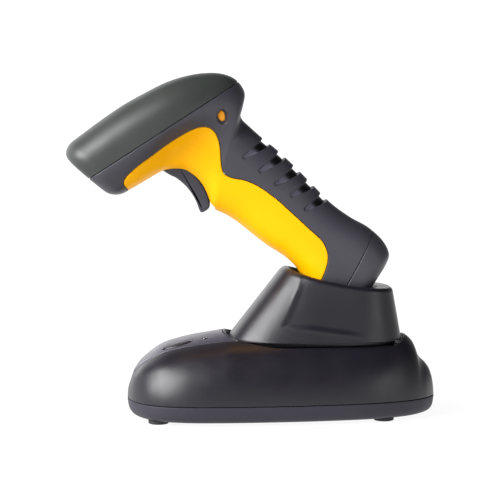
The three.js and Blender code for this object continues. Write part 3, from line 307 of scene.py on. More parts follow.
def recess(s, name, level, sink):
    """Sinks the inside of a field's level: sink maps old z to new; walls join the two."""
    s.split(name, level)
    inside, outside = [], []
    for poly, low in zip(s.polys, s.below(name, level)):
        (inside if low else outside).append(poly)
    edges = {(a, b): poly for poly in inside for a, b in zip(poly, poly[1:] + poly[:1])}
    others = {(a, b) for poly in outside for a, b in zip(poly, poly[1:] + poly[:1])}
    border = [(a, b, poly) for (a, b), poly in edges.items() if (b, a) in others]
    rim = sorted({i for a, b, _ in border for i in (a, b)})
    twin = {v: len(s.pos) + k for k, v in enumerate(rim)}
    lean = {v: np.zeros(3) for v in rim}
    for a, b, poly in border:
        inward = s.pos[poly].mean(axis=0) - (s.pos[a] + s.pos[b]) / 2
        edge = s.pos[b] - s.pos[a]
        inward = inward - edge * (inward @ edge) / (edge @ edge + 1e-12)
        inward = unit(inward - s.nor[a] * (inward @ s.nor[a]))
        lean[a] += inward
        lean[b] += inward
    s.pos = np.vstack([s.pos, s.pos[rim]])
    s.nor = np.vstack([s.nor, s.nor[rim]])
    for k, v in s.fields.items():
        s.fields[k] = np.concatenate([v, v[rim]])
    # rim normals lean into the recess, so the wall gets thickness when the shell is made
    for v in rim:
        tip = unit(lean[v])
        s.nor[v] = s.nor[v] + tip
        s.nor[twin[v]] = s.nor[twin[v]] + tip
    floor_polys = [[twin.get(i, i) for i in poly] for poly in inside]
    sunk = sorted({i for poly in floor_polys for i in poly})
    s.pos[sunk, 2] = sink(s.pos[sunk, 2])
    s.polys = outside + floor_polys + [[a, b, twin[b], twin[a]] for a, b, _ in border]


def grid_normals(grid, closed=True):
    """Unit normals of a grid of points (i, j, 3); closed joins the last column to the first."""
    along = np.empty_like(grid)
    along[1:-1] = grid[2:] - grid[:-2]
    along[0], along[-1] = grid[1] - grid[0], grid[-1] - grid[-2]
    if closed:
        across = np.roll(grid, -1, axis=1) - np.roll(grid, 1, axis=1)
    else:
        across = np.empty_like(grid)
        across[:, 1:-1] = grid[:, 2:] - grid[:, :-2]
        across[:, 0] = grid[:, 1] - grid[:, 0]
        across[:, -1] = grid[:, -1] - grid[:, -2]
    return unit(np.cross(across, along))


def ring_quads(rings, count, loop=False):
    """Quads between closed rings of count points; loop joins the last ring to the first."""
    polys = []
    for i in range(rings if loop else rings - 1):
        near, far = i * count, (i + 1) % rings * count
        for j in range(count):
            k = (j + 1) % count
            polys.append([near + j, near + k, far + k, far + j])
    return polys


# ------------------------------------------------------------------ objects
def shade_smooth(mesh, sharp_degrees):
    for poly in mesh.polygons:
        poly.use_smooth = True
    mesh.set_sharp_from_angle(angle=math.radians(sharp_degrees))


def mesh_object(name, pos, polys, sharp_degrees=32):
    points = np.asarray(pos, float).copy()
    points[:, 0] -= ORIGIN_X
    mesh = bpy.data.meshes.new(name)
    mesh.from_pydata((points * MM).tolist(), [], polys)
    mesh.validate()
    mesh.update()
    ob = bpy.data.objects.new(name, mesh)
    bpy.context.scene.collection.objects.link(ob)
    shade_smooth(mesh, sharp_degrees)
    return ob


def boundary_loops(polys):
    """Boundary edges, each in its polygon's direction, chained into loops."""
    edges = {(a, b): 1 for poly in polys for a, b in zip(poly, poly[1:] + poly[:1])}
    following = {}
    for a, b in edges:
        if (b, a) not in edges:
            following.setdefault(a, []).append(b)
    loops = []
    while following:
        start = next(iter(following))
        loop, current = [start], start
        while True:
            b = following[current].pop()
            if not following[current]:
                del following[current]
            if b == start:
                break
            loop.append(b)
            current = b
            if current not in following:
                break
        loops.append(loop)
    return loops


def shell_object(name, s, thickness):
    """A closed shell: the surface, its copy set in by the thickness, and a wall at each edge."""
    n = len(s.pos)
    polys = s.polys + [[i + n for i in reversed(poly)] for poly in s.polys]
    for loop in boundary_loops(s.polys):
        polys += [[b, a, a + n, b + n] for a, b in zip(loop, loop[1:] + loop[:1])]
    return mesh_object(name, np.vstack([s.pos, s.pos - s.nor * thickness]), polys)


def ring_stack(name, rings, caps=True, loop=False, sharp_degrees=32):
    """Mesh over rings of equally many points; caps closes the ends with fans."""
    count = len(rings[0])
    parts = [np.asarray(ring, float) for ring in rings]
    polys = ring_quads(len(rings), count, loop)
    if caps:
        centre = len(rings) * count
        last = centre - count
        parts += [parts[0].mean(axis=0)[None], parts[-1].mean(axis=0)[None]]
        polys += [[(j + 1) % count, j, centre] for j in range(count)]
        polys += [[last + j, last + (j + 1) % count, centre + 1] for j in range(count)]
    pos = np.vstack(parts)
    # the signed volume tells which way the polygons face
    volume = 0.0
    for poly in polys:
        for k in range(1, len(poly) - 1):
            volume += pos[poly[0]] @ np.cross(pos[poly[k]], pos[poly[k + 1]])
    if volume < 0:
        polys = [poly[::-1] for poly in polys]
    return mesh_object(name, pos, polys, sharp_degrees)


def piece(ob, carrier, slot, node):
    """Tells the frame what a piece moves with, its material slot and the CAD node it replaces."""
    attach(ob, carrier)
    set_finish(ob, slot)
    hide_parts(node)
    PIECES.append(ob)


# ------------------------------------------------------------------ outlines and where they lie
def plane(origin, across, up, out):
    """A function that puts an (across, up) outline at a height h along out."""
    origin, across, up, out = (np.asarray(v) for v in (origin, across, up, out))
    return lambda outline, h: origin + outline[:, :1] * across + outline[:, 1:] * up + h * out


place_y = plane((0, 0, 0), (1, 0, 0), (0, 0, 1), (0, 1, 0))
place_z = plane((0, 0, 0), (1, 0, 0), (0, 1, 0), (0, 0, 1))


def outline_inset(outline, distance):
    """Closed outline moved inwards along its normals."""
    tangent = unit(np.roll(outline, -1, axis=0) - np.roll(outline, 1, axis=0))
    normal = np.stack([-tangent[:, 1], tangent[:, 0]], 1)
    x, y = outline.T
    area = 0.5 * np.sum(x * np.roll(y, -1) - np.roll(x, -1) * y)
    return outline + normal * distance * (1 if area > 0 else -1)


def rounded_rings(outline, low, high, radius, steps, place):
    """Rings of an outline pulled from low to high, with both edges rounded."""
    angles = np.linspace(0, math.pi / 2, steps + 1)
    edge = [(radius * (1 - math.sin(a)), radius * (1 - math.cos(a))) for a in angles]
    rings = [place(outline_inset(outline, inset), low + h) for inset, h in edge]
    return rings + [place(outline_inset(outline, inset), high - h) for inset, h in edge[::-1]]


def domed_rings(place, centre, radius, rise, base, steps, count):
    """Rings that close a round end with a shallow dome."""
    rings = []
    for k in range(1, steps + 1):
        a = math.pi / 2 * k / steps
        ring = circle(max(radius * math.cos(a), 0.02), count, *centre)
        rings.append(place(ring, base + rise * math.sin(a)))
    return rings


def round_rect(half_u, half_v, radius, corner_steps=8):
    points = []
    for su, sv, start in ((1, -1, -90), (1, 1, 0), (-1, 1, 90), (-1, -1, 180)):
        for k in range(corner_steps + 1):
            a = math.radians(start + 90 * k / corner_steps)
            u = su * (half_u - radius) + radius * math.cos(a)
            v = sv * (half_v - radius) + radius * math.sin(a)
            points.append([u, v])
    return np.array(points)


def circle(radius, count, cx=0.0, cy=0.0):
    a = np.linspace(0, 2 * math.pi, count, endpoint=False)
    return np.stack([cx + radius * np.cos(a), cy + radius * np.sin(a)], 1)


# ------------------------------------------------------------------ the scanner's body
# Sections across the body from the nose to the handle's end:
# inner x, z; outer x, z; inner, outer half width; place and length of the change of width (as
# parts of the section's depth); inner, outer rounding (same parts); inner, outer power.
RIBS = [
    [-99.0, 131.3, -131.5, 159.3, 29.0, 35.0, 0.22, 0.4, 0.16, 0.44, 3.0, 2.7],
    [-91.0, 135.6, -120.5, 167.3, 28.0, 35.5, 0.22, 0.4, 0.17, 0.44, 3.0, 2.7],
    [-84.0, 139.6, -107.5, 176.9, 27.0, 35.8, 0.22, 0.4, 0.18, 0.44, 3.0, 2.7],
    [-77.5, 143.4, -94.5, 185.8, 25.0, 35.8, 0.24, 0.4, 0.2, 0.44, 2.9, 2.7],
    [-71.0, 147.0, -81.5, 193.1, 22.5, 35.3, 0.28, 0.38, 0.22, 0.44, 2.8, 2.7],
    [-66.5, 147.9, -69.0, 199.4, 20.0, 34.5, 0.33, 0.36, 0.24, 0.44, 2.7, 2.6],
    [-62.0, 147.8, -57.5, 203.3, 18.6, 33.0, 0.38, 0.35, 0.26, 0.43, 2.6, 2.5],
    [-57.5, 146.8, -47.0, 205.2, 18.0, 31.0, 0.43, 0.35, 0.28, 0.42, 2.5, 2.4],
    [-53.5, 144.2, -37.0, 205.3, 17.8, 28.6, 0.48, 0.36, 0.3, 0.4, 2.5, 2.3],
    [-50.2, 141.0, -29.0, 203.0, 17.8, 26.2, 0.52, 0.38, 0.3, 0.37, 2.4, 2.3],
    [-47.8, 138.0, -24.0, 198.8, 17.8, 24.2, 0.55, 0.4, 0.3, 0.35, 2.4, 2.3],
    [-45.8, 134.6, -21.3, 193.5, 17.9, 22.4, 0.57, 0.42, 0.3, 0.34, 2.4, 2.3],
    [-44.3, 131.4, -22.0, 187.8, 18.0, 20.8, 0.58, 0.44, 0.3, 0.34, 2.4, 2.3],
    [-42.9, 128.0, -23.7, 181.5, 18.1, 19.6, 0.6, 0.5, 0.31, 0.36, 2.4, 2.3],
    [-41.0, 124.9, -22.9, 178.0, 18.2, 19.0, 0.6, 0.5, 0.33, 0.38, 2.4, 2.3],
    [-36.5, 122.9, -18.5, 173.7, 18.4, 18.8, 0.6, 0.5, 0.36, 0.41, 2.4, 2.3],
    [-30.5, 119.9, -10.2, 166.3, 18.5, 18.8, 0.6, 0.5, 0.39, 0.43, 2.35, 2.3],
    [-24.0, 115.4, -1.5, 159.3, 18.5, 18.8, 0.6, 0.5, 0.41, 0.44, 2.3, 2.3],
    [-15.6, 108.6, 9.0, 149.5, 18.5, 18.8, 0.6, 0.5, 0.42, 0.44, 2.3, 2.3],
    [-7.8, 102.6, 19.5, 138.8, 18.5, 18.8, 0.6, 0.5, 0.42, 0.44, 2.3, 2.3],
    [1.0, 97.0, 30.5, 127.8, 18.5, 18.9, 0.6, 0.5, 0.42, 0.44, 2.3, 2.3],
    [8.0, 91.2, 42.0, 119.4, 18.6, 19.3, 0.6, 0.5, 0.4, 0.42, 2.35, 2.35],
    [12.3, 85.0, 53.0, 113.2, 18.8, 19.8, 0.6, 0.5, 0.38, 0.4, 2.4, 2.4],
    [14.6, 78.9, 61.6, 105.3, 19.0, 20.2, 0.6, 0.5, 0.36, 0.38, 2.45, 2.4],
    [16.3, 72.5, 65.5, 97.5, 18.8, 20.2, 0.6, 0.5, 0.35, 0.36, 2.5, 2.4],
    [18.3, 66.5, 63.6, 91.2, 18.2, 19.6, 0.6, 0.5, 0.35, 0.35, 2.5, 2.4],
    [20.5, 61.8, 59.5, 84.5, 17.0, 18.4, 0.6, 0.5, 0.35, 0.35, 2.5, 2.5],
    [22.8, 58.8, 54.5, 76.5, 15.2, 16.4, 0.6, 0.5, 0.36, 0.36, 2.5, 2.5],
    [25.4, 57.4, 49.6, 69.2, 13.4, 14.2, 0.6, 0.5, 0.38, 0.38, 2.5, 2.5],
    [27.5, 57.9, 47.0, 65.0, 12.2, 12.8, 0.6, 0.5, 0.4, 0.4, 2.6, 2.6],
]
INNER_STEPS, MIDDLE_STEPS, OUTER_STEPS = 13, 24, 18
NOSE_RADIUS, NOSE_PITCH = 8.5, 10.4  # rounding of the nose's edge; distance between ribs there
NOSE_INNER, NOSE_OUTER, NOSE_SIDE = 6, 8, 9  # how far the rounding draws in each side
BODY_FAR = 50.0  # field value where a feature cannot be

# the head's parting plane and the flat end of the handle, as (x, z)
SEAM_POINT = np.array([-70, 171.6])
SEAM_ANGLE = math.radians(32.7)
SEAM_ALONG = np.array([math.cos(SEAM_ANGLE), math.sin(SEAM_ANGLE)])
SEAM_UP = np.array([-SEAM_ALONG[1], SEAM_ALONG[0]])
HEEL = np.array([37.25, 61.45])
HEEL_ANGLE = math.radians(70)
HEEL_ALONG = np.array([math.sin(HEEL_ANGLE), math.cos(HEEL_ANGLE)])
HEEL_UP = np.array([-math.cos(HEEL_ANGLE), math.sin(HEEL_ANGLE)])
# holes in the handle's end: place along it, y, radius
HEEL_HOLES = [(0, y, 1.7) for y in (-6, -2, 2, 6)] + [(6.2, y, 2.7) for y in (-7.6, 7.6)]

# upper edge of the yellow cover, as (x, z) from the nose to the handle's end
YELLOW_EDGE = [
    [-89.4, 134.5], [-91.3, 137.6], [-93.0, 140.0], [-92.8, 142.8], [-90.6, 145.8],
    [-84.3, 151.4], [-76.1, 157.2], [-67.9, 163.0], [-58.5, 168.9], [-50.8, 172.6],
    [-45.0, 173.4], [-40.6, 171.2], [-38.0, 166.8], [-36.6, 160.4], [-36.0, 151.6],
    [-34.4, 146.4], [-29.6, 143.6], [-21.6, 142.0], [-12.6, 137.8], [-2.8, 130.6],
    [7.2, 121.6], [16.7, 112.8], [23.4, 106.6], [26.6, 100.6], [27.2, 94.6], [25.6, 88.4],
    [22.4, 80.4], [19.6, 74.0], [14.0, 70.0],
]
YELLOW_REST = [[-10, 60], [-60, 80], [-88, 126]]  # closes the region clear of the body
CAP_LINE = np.array([56.2, 113.0]), np.array([25.6, 54.6])
# opening for the trigger, as (x, z)
SLOT = [
    [-71.4, 144.6], [-70.6, 149.6], [-66, 153], [-56, 152], [-48, 146], [-41, 138],
    [-38.6, 130], [-39.6, 121.6], [-48, 118], [-60, 130],
]
TRIGGER_HALF, TRIGGER_GAP = 8.2, 0.9
PLUG = np.array([-35.6, 179.6])
PLUG_TILT = math.radians(8)
LAMP = (30, 0)  # along the parting plane, y
# tapered grooves in the housing's sides: (x, z) points, widths at them
GROOVES = [
    ([[-3.6, 169.9], [-8.8, 164.5], [-15.5, 160.2], [-22.6, 155.6]], [6.0, 5.6, 4.4, 2.6]),
    ([[5.2, 161.4], [0.1, 156.1], [-5.8, 152.2], [-13.2, 147.7]], [6.0, 5.6, 4.4, 2.6]),
    ([[14.2, 153.1], [9.1, 147.8], [3.7, 144.5], [-3.8, 140.1]], [6.0, 5.6, 4.4, 2.6]),
    ([[22.6, 144.7], [17.5, 139.4], [12.6, 136.8], [5.4, 133.2]], [6.0, 5.6, 4.3, 2.6]),
    ([[30.4, 136.6], [25.3, 131.3], [20.4, 128.5], [13.6, 124.9]], [6.0, 5.5, 4.2, 2.6]),
]

FRONT_UP = xz([RIBS[0][2] - RIBS[0][0], RIBS[0][3] - RIBS[0][1]])
FRONT_LENGTH = np.linalg.norm(FRONT_UP)
FRONT_UP /= FRONT_LENGTH
FRONT_IN = np.array([FRONT_UP[2], 0, -FRONT_UP[0]])
FRONT_REACH = NOSE_INNER + (FRONT_LENGTH - (NOSE_INNER + NOSE_OUTER)) / 2
FRONT_MID = xz(RIBS[0][:2]) + FRONT_UP * FRONT_REACH
# outline (y, up) on the nose's flat front, height inwards
place_front = plane(FRONT_MID, (0, 1, 0), FRONT_UP, FRONT_IN)
# outline (along, y) on the head's parting plane, height above it
place_head = plane(xz(SEAM_POINT), xz(SEAM_ALONG), (0, 1, 0), xz(SEAM_UP))


def body_rings(s):
    """Grid of points (s, j, 3): closed rings round the body at the rib numbers s."""
    columns = [column[:, None] for column in catmull(RIBS, s).T]
    in_x, in_z, out_x, out_z, in_half, out_half, step_at, step_span = columns[:8]
    in_round, out_round, in_power, out_power = columns[8:]
    d = s[:, None] * NOSE_PITCH
    arc = 1 - np.sqrt(np.clip(1 - (1 - d / NOSE_RADIUS) ** 2, 0, 1))
    ease = np.where(d < NOSE_RADIUS, arc, 0)
    depth = np.hypot(out_x - in_x, out_z - in_z)
    ux, uz = (out_x - in_x) / depth, (out_z - in_z) / depth
    start, end = NOSE_INNER * ease, depth - NOSE_OUTER * ease
    angle = (np.pi / 2) * (np.arange(INNER_STEPS + 1) / INNER_STEPS)[None]
    t_in = in_round * (1 - np.cos(angle) ** (2 / in_power))
    wide_in = np.sin(angle) ** (2 / in_power)
    part = (np.arange(1, MIDDLE_STEPS) / MIDDLE_STEPS)[None]
    t_mid = in_round + (1 - out_round - in_round) * part
    angle = (np.pi / 2) * (np.arange(OUTER_STEPS + 1) / OUTER_STEPS)[None]
    t_out = 1 - out_round * (1 - np.sin(angle) ** (2 / out_power))
    wide_out = np.cos(angle) ** (2 / out_power)
    t = np.concatenate([t_in, t_mid, t_out], 1)
    wide = np.concatenate([wide_in, np.ones_like(t_mid), wide_out], 1)
    wide[:, [0, -1]] = 0
    change = smooth((t - step_at) / step_span + 0.5)
    y = (in_half + (out_half - in_half) * change - NOSE_SIDE * ease) * wide
    along = start + (end - start) * t
    half = np.stack([in_x + ux * along, y, in_z + uz * along], 2)
    other = half[:, 1:-1][:, ::-1] * np.array([1, -1, 1])
    return np.concatenate([half, other], 1)


def close_end(pos, nor, polys, ring, normal, first, steps, flip):
    """Fills a flat end with rings that shrink to its middle."""
    centre = ring.mean(axis=0)
    n = len(ring)
    start = sum(len(part) for part in pos)
    for k in range(1, steps + 1):
        if k < steps:
            pos.append(centre + (ring - centre) * (1 - k / steps))
        else:
            pos.append(centre[None])
        nor.append(np.tile(normal, (len(pos[-1]), 1)))
        for j in range(n):
            a, b = first + j, first + (j + 1) % n
            if k < steps:
                c, d = start + j, start + (j + 1) % n
                polys.append([a, b, d, c] if flip else [a, c, d, b])
            else:
                polys.append([a, b, start] if flip else [a, start, b])
        first, start = start, start + n


def body_surface():
    nose = 0.82 * (1 - np.cos(np.linspace(0, np.pi / 2, 16)))
    rings = body_rings(np.concatenate([nose, np.arange(0.94, 29.0, 0.125), [29.0]]))
    count, size = rings.shape[:2]
    normals = grid_normals(rings)
    normals[0] = -FRONT_IN
    pos, nor = [rings.reshape(-1, 3)], [normals.reshape(-1, 3)]
    polys = ring_quads(count, size)
    close_end(pos, nor, polys, rings[0], -FRONT_IN, 0, 16, flip=False)
    close_end(pos, nor, polys, rings[-1], -xz(HEEL_UP), (count - 1) * size, 12, flip=True)
    return Surface(np.vstack(pos), np.vstack(nor), polys)


def add_body_fields(surface):
    """Fields that are negative inside each part's region on the body."""
    x, y, z = surface.pos.T
    side = np.stack([x, z], 1)
    on_side = np.abs(y) > 10
    seam = (side - SEAM_POINT) @ SEAM_UP
    yellow = polygon_distance(side, np.vstack([spaced(YELLOW_EDGE, 150), YELLOW_REST]))
    run = CAP_LINE[1] - CAP_LINE[0]
    cap = (side - CAP_LINE[0]) @ (np.array([-run[1], run[0]]) / np.linalg.norm(run))
    rel = surface.pos - FRONT_MID
    window = round_rect_distance(y, rel @ FRONT_UP, 23, 11, 4.5)
    window = np.where(rel @ FRONT_IN < 12, window, BODY_FAR)
    slot = np.maximum(polygon_distance(side, SLOT), np.abs(y) - (TRIGGER_HALF + TRIGGER_GAP))
    light = np.hypot((side - SEAM_POINT) @ SEAM_ALONG - LAMP[0], y) - 2.9
    light = np.where(seam > 5, light, BODY_FAR)

    px, pz = side[:, 0] - PLUG[0], side[:, 1] - PLUG[1]
    pu = px * math.cos(PLUG_TILT) + pz * math.sin(PLUG_TILT)
    pv = -px * math.sin(PLUG_TILT) + pz * math.cos(PLUG_TILT)

    def oval(half_u, half_v, size):
        return np.where(on_side, (np.hypot(pu / half_u, pv / half_v) - 1) * size, BODY_FAR)

    heel_u, heel_h = (side - HEEL) @ HEEL_ALONG, (side - HEEL) @ HEEL_UP
    holes = np.min([np.hypot(heel_u - u, y - v) - radius for u, v, radius in HEEL_HOLES], axis=0)
    holes = np.where(np.abs(heel_h) < 2.5, holes, BODY_FAR)
    surface.fields = {
        "groove": np.min([taper_distance(side, *groove) for groove in GROOVES], axis=0),
        "recess": oval(3.4, 4.6, 3.9),
        "plug": oval(2.3, 3.4, 2.8),
        "top": np.maximum.reduce([-seam, -window, -light]),
        "housing": np.maximum.reduce([seam, -yellow, cap, -window]),
        "cover": np.maximum.reduce([yellow, cap, seam, -slot]),
        "endcap": np.maximum.reduce([-cap, -holes]),
    }


PART_GAP = -0.15  # field level at which neighbouring parts are cut back


def body_part(name, field, radius, thickness, slot, node):
    s = trimmed(take(body, field), field, PART_GAP, radius)
    piece(shell_object(name, s, thickness), "scanner", slot, node)


def housing():
    """Grey housing with side grooves and a round recess for each plug, with painted light and
    shade on the groove floors.
    """
    s = take(body, "housing")
    press(s, "groove", [
        (0.3, 0.0), (0.1, 0.07), (-0.05, 0.35), (-0.3, 1.5), (-0.55, 1.9), (-0.9, 2.0),
    ])
    press(s, "recess", [(0.45, 0.0), (0.15, 0.08), (-0.05, 0.35), (-0.4, 1.7), (-0.8, 2.0)])
    s = trimmed(s, "housing", PART_GAP, 0.5)
    # painted light and shade in the grooves: 1 paints a lit violet-grey floor where a groove
    # faces sideways, -1 paints near-black shade where it faces up or down
    deep = smooth((-s.fields["groove"] - 0.12) / 0.4)
    facing = smooth((np.abs(s.nor[:, 1]) - 0.74) / 0.16)
    painted_light_shade = deep * (facing * 2 - 1)
    ob = shell_object("housing", s, 1.9)
    # a point attribute carries the painted light and shade of the groove floors
    attribute = ob.data.attributes.new("groove_painted_light", "FLOAT", "POINT")
    values = np.concatenate([painted_light_shade, np.zeros_like(painted_light_shade)]).astype(np.float32)
    attribute.data.foreach_set("value", values)
    piece(ob, "scanner", "shell", "main_housing")


def side_plug(name, side, node):
    s = take(body, "plug")
    s.polys = [poly for poly in s.polys if side * s.pos[poly][:, 1].mean() > 0]
    s = trimmed(s.compact(), "plug", 0.0, 1.0, steps=(0.0, 0.06, 0.18, 0.4, 0.7, 1.0))
    s.pos = s.pos - s.nor * 1.2
    piece(shell_object(name, s, 1.5), "scanner", "plug", node)


body = body_surface()
add_body_fields(body)
body_part("head_top", "top", 0.5, 2.0, "top_shell", "head_top_cover")
housing()
body_part("front_cover", "cover", 0.55, 2.0, "grip_yellow", "front_grip_cover")
body_part("heel_cap", "endcap", 0.45, 1.9, "end_cap", "handle_end_cap")
side_plug("plug_near", -1, "side_plug_left")
side_plug("plug_far", 1, "side_plug_right")

# ------------------------------------------------------------------ trigger, window and lamp
# outline of the trigger, as (x, z): down its front edge, then up its back
TRIGGER_FRONT = [
    [-69.9, 147.4], [-65.9, 145.0], [-62.4, 143.3], [-59.0, 140.7], [-55.5, 137.2],
    [-52.4, 132.9], [-50.0, 128.4], [-48.4, 123.9], [-47.2, 122.7], [-44.4, 123.9],
]
TRIGGER_BACK = [
    [-42.4, 126.2], [-42.6, 130.8], [-44.6, 136.4], [-48.4, 142.2], [-52.6, 147.0],
    [-56.6, 150.6], [-58.0, 153.4], [-59.6, 156.0], [-62.5, 157.2], [-65.6, 156.0],
    [-67.6, 152.6],
]
PIVOT, PIVOT_RADIUS = np.array([-62.5, 153.4]), 1.65


def trigger():
    """A crescent with well rounded edges and a bore for the pivot pin right through."""
    outline = spaced(TRIGGER_FRONT + TRIGGER_BACK, 150, closed=True)
    rings = rounded_rings(outline, -TRIGGER_HALF, TRIGGER_HALF, 1.7, 7, place_y)
    bore = []
    for ring in (rings[-1], rings[0]):
        out = ring[:, [0, 2]] - PIVOT
        out = PIVOT + out / np.linalg.norm(out, axis=1)[:, None] * PIVOT_RADIUS
        bore.append(place_y(out, ring[0, 1]))
    ob = ring_stack("trigger_lever", rings + bore, caps=False, loop=True)
    piece(ob, "trigger", "trigger_plastic", "trigger")


GLASS = (20.9, 8.9, 3.0)  # half width, half height, corner radius


def front_frame(name, size, least_radius, profile, slot, node):
    """A frame on the nose's front; profile is (growth, depth) round its section."""
    rings = []
    for grow, depth in profile:
        half_u, half_v, radius = (value + grow for value in size)
        outline = round_rect(half_u, half_v, max(radius, least_radius))
        rings.append(place_front(outline, depth))
    piece(ring_stack(name, rings + rings[:1], caps=False), "scanner", slot, node)


def nose_window():
    front_frame("nose_bezel", (22.6, 10.6, 4.2), 1.0, [
        (0, 8.2), (0, 1.5), (-0.15, 1.05), (-0.6, 0.9), (-2.5, 0.9), (-2.95, 1.05),
        (-3.1, 1.5), (-3.1, 4.1), (-1.6, 4.2), (-1.4, 4.4), (-1.4, 8.2),
    ], "bezel", "window_bezel")
    glass = rounded_rings(round_rect(*GLASS), 4.9, 6.5, 0.3, 5, place_front)
    piece(ring_stack("nose_glass", glass), "scanner", "window_glass", "scan_window")
    front_frame("nose_gasket", GLASS, 0.8, [
        (0, 8.0), (0, 7.0), (-0.2, 6.8), (-2.0, 6.8), (-2.2, 7.0), (-2.2, 8.0),
    ], "gasket", "window_gasket")


def status_lamp():
    profile = [(3.5, 14.05), (3.55, 14.7), (2.55, 14.8), (2.6, 17.4)]  # radius, height
    rings = [place_head(circle(radius, 40, *LAMP), h) for radius, h in profile]
    rings += domed_rings(place_head, LAMP, *(2.6, 0.95), base=17.4, steps=6, count=40)
    piece(ring_stack("status_lamp", rings), "scanner", "led_white", "status_light_pipe")


trigger()
nose_window()
status_lamp()

# ------------------------------------------------------------------ the cradle's cover
BASE_SEAM, SEAM_GAP = 12.2, 0.15
DECK = 44.0
CUP_FOOT = 46.5
CRADLE_FAR = 60.0  # field value where a feature cannot be
# plan of the cradle: x, half width
HALF_WIDTH = np.array([
    [-91.7, 0], [-91.5, 7], [-90.2, 16.5], [-87.2, 26], [-82, 35.2], [-76, 41.2], [-69, 45.2],
    [-56, 48.4], [-36, 49.5], [-10, 48.6], [16, 46.2], [40, 42.4], [56, 38.4], [69, 33],
    [78, 27.4], [85, 20.6], [89.6, 13.8], [92.2, 7.6], [93.3, 0],
])
# profile of the cover in the plane of symmetry: x, z
CENTRE_TOP = np.array([
    [-91.7, 12.8], [-91.5, 15.5], [-90.9, 18.5], [-89.7, 21.6], [-87.8, 26.8], [-84.2, 32.4],
    [-79.6, 37.0], [-75, 40.6], [-70.4, 43.4], [-65.8, 45.2], [-56.6, 47.7], [-47.4, 49.5],
    [-38.2, 51.0], [-29.5, 52.0], [0, 52.4], [50, 51.6], [68, 50.6], [73, 49.6], [77, 47.4],
    [80, 44.2], [81.5, 40.9], [83, 36.9], [85, 34.0], [87.6, 31.6], [90.1, 28.2], [92, 22.9],
    [93, 15.5], [93.3, 12.8],
])
CREASE, CREASE_BLEND = 0.72, 2.6  # part of the half width where side meets top; softening
# x, height factor of the cover's sides
SIDE_TALL = [[-92, 1.3], [-84, 1.27], [-78, 1.19], [-69, 1.14], [93, 1.14]]
# edge of the tongue-shaped inlay on one side: x, y
TONGUE = np.array([
    [-22, 25.4], [-50, 23.4], [-62, 21.8], [-73, 19.0], [-81, 15.0], [-85.2, 9.4], [-87.2, 4],
    [-87.7, 0],
])
KEY = (-61.8, -15.0)
KEY_HALF_X, KEY_HALF_Y, KEY_POWER, KEY_SCALE = 8.0, 3.7, 1.75, 3.9
LED, LED_RADIUS = (-45.6, -15.0), 1.4


def rising(x):
    """Makes a curve's x strictly rising, for interpolation."""
    return np.maximum.accumulate(x) + np.arange(len(x)) * 1e-9


MIRROR = [1, -1]
# the plan is carried on past both tips, so that the curve meets its mirror image smoothly
PLAN_ROWS = np.vstack([
    HALF_WIDTH[:4][::-1][:-1] * MIRROR, HALF_WIDTH, HALF_WIDTH[-4:][::-1][1:] * MIRROR,
])
plan_curve = catmull(PLAN_ROWS, np.linspace(3, 3 + len(HALF_WIDTH) - 1, 1801))
plan_curve[0], plan_curve[-1] = HALF_WIDTH[0], HALF_WIDTH[-1]
plan_x = rising(plan_curve[:, 0])
plan_length = np.concatenate([[0], np.cumsum(np.hypot(*np.diff(plan_curve, axis=0).T))])
top_curve = catmull(CENTRE_TOP, np.linspace(0, len(CENTRE_TOP) - 1, 2601))
top_x = rising(top_curve[:, 0])


def half_width(x):
    return np.interp(x, plan_x, np.maximum(plan_curve[:, 1], 0))


def plan_stations(margin, count):
    """x of stations evenly spaced along the plan's edge."""
    along = np.linspace(margin, plan_length[-1] - margin, count)
    return np.interp(along, plan_length, plan_curve[:, 0])


def dome_surface():
    """The cover before anything is cut: x stations by parts of the half width."""
    xs = plan_stations(0.35, 250)
    parts = np.concatenate([
        np.cos(np.linspace(0, math.acos(0.78), 30)),
        np.linspace(0.768, 0.672, 9),
        np.linspace(0.655, 0.0, 34),
    ])
    parts = np.concatenate([parts, -parts[:-1][::-1]])
    x, part = np.meshgrid(xs, parts, indexing="ij")
    tall = np.interp(x, top_x, top_curve[:, 1]) - (BASE_SEAM + SEAM_GAP)
    factor = monotone(SIDE_TALL, xs)[:, None]
    away = np.abs(part)
    edge = factor * math.sqrt(1 - CREASE * CREASE)
    side = factor * np.sqrt(np.maximum(1 - away * away, 0)) * tall
    top = (1 - (1 - edge) * (away / CREASE) ** 2) * tall
    near = np.maximum(CREASE_BLEND - np.abs(side - top), 0) / CREASE_BLEND
    z = np.minimum(side, top) - near * near * CREASE_BLEND * 0.25
    z = np.maximum(z, 0) + BASE_SEAM + SEAM_GAP
    grid = np.stack([x, half_width(x) * part, z], 2)
    rows, n = x.shape
    polys = []
    for i in range(rows - 1):
        for j in range(n - 1):
            a, b = i * n + j, (i + 1) * n + j
            polys.append([a + 1, b + 1, b, a])
    normals = grid_normals(grid, closed=False)
    return Surface(grid.reshape(-1, 3), normals.reshape(-1, 3), polys)


# the cup's skirt: x at the foot, shift in x and rise in z to the rim, on its -x and +x sides
LEFT_X, LEFT_SHIFT, LEFT_RISE = -32, 34, 43.7
RIGHT_X, RIGHT_SHIFT, RIGHT_RISE = 72.8, -5.6, 31.2
RIM_SAG = 3.0
CUP_COUNT = 220


def circle_parts(count):
    """Cosines and sines round a circle, with exact zeros."""
    angle = 2 * math.pi * np.arange(count) / count
    parts = np.stack([np.cos(angle), np.sin(angle)])
    parts[np.abs(parts) < 1e-12] = 0
    return parts


def signed_power(value, power):
    return np.sign(value) * np.abs(value) ** power


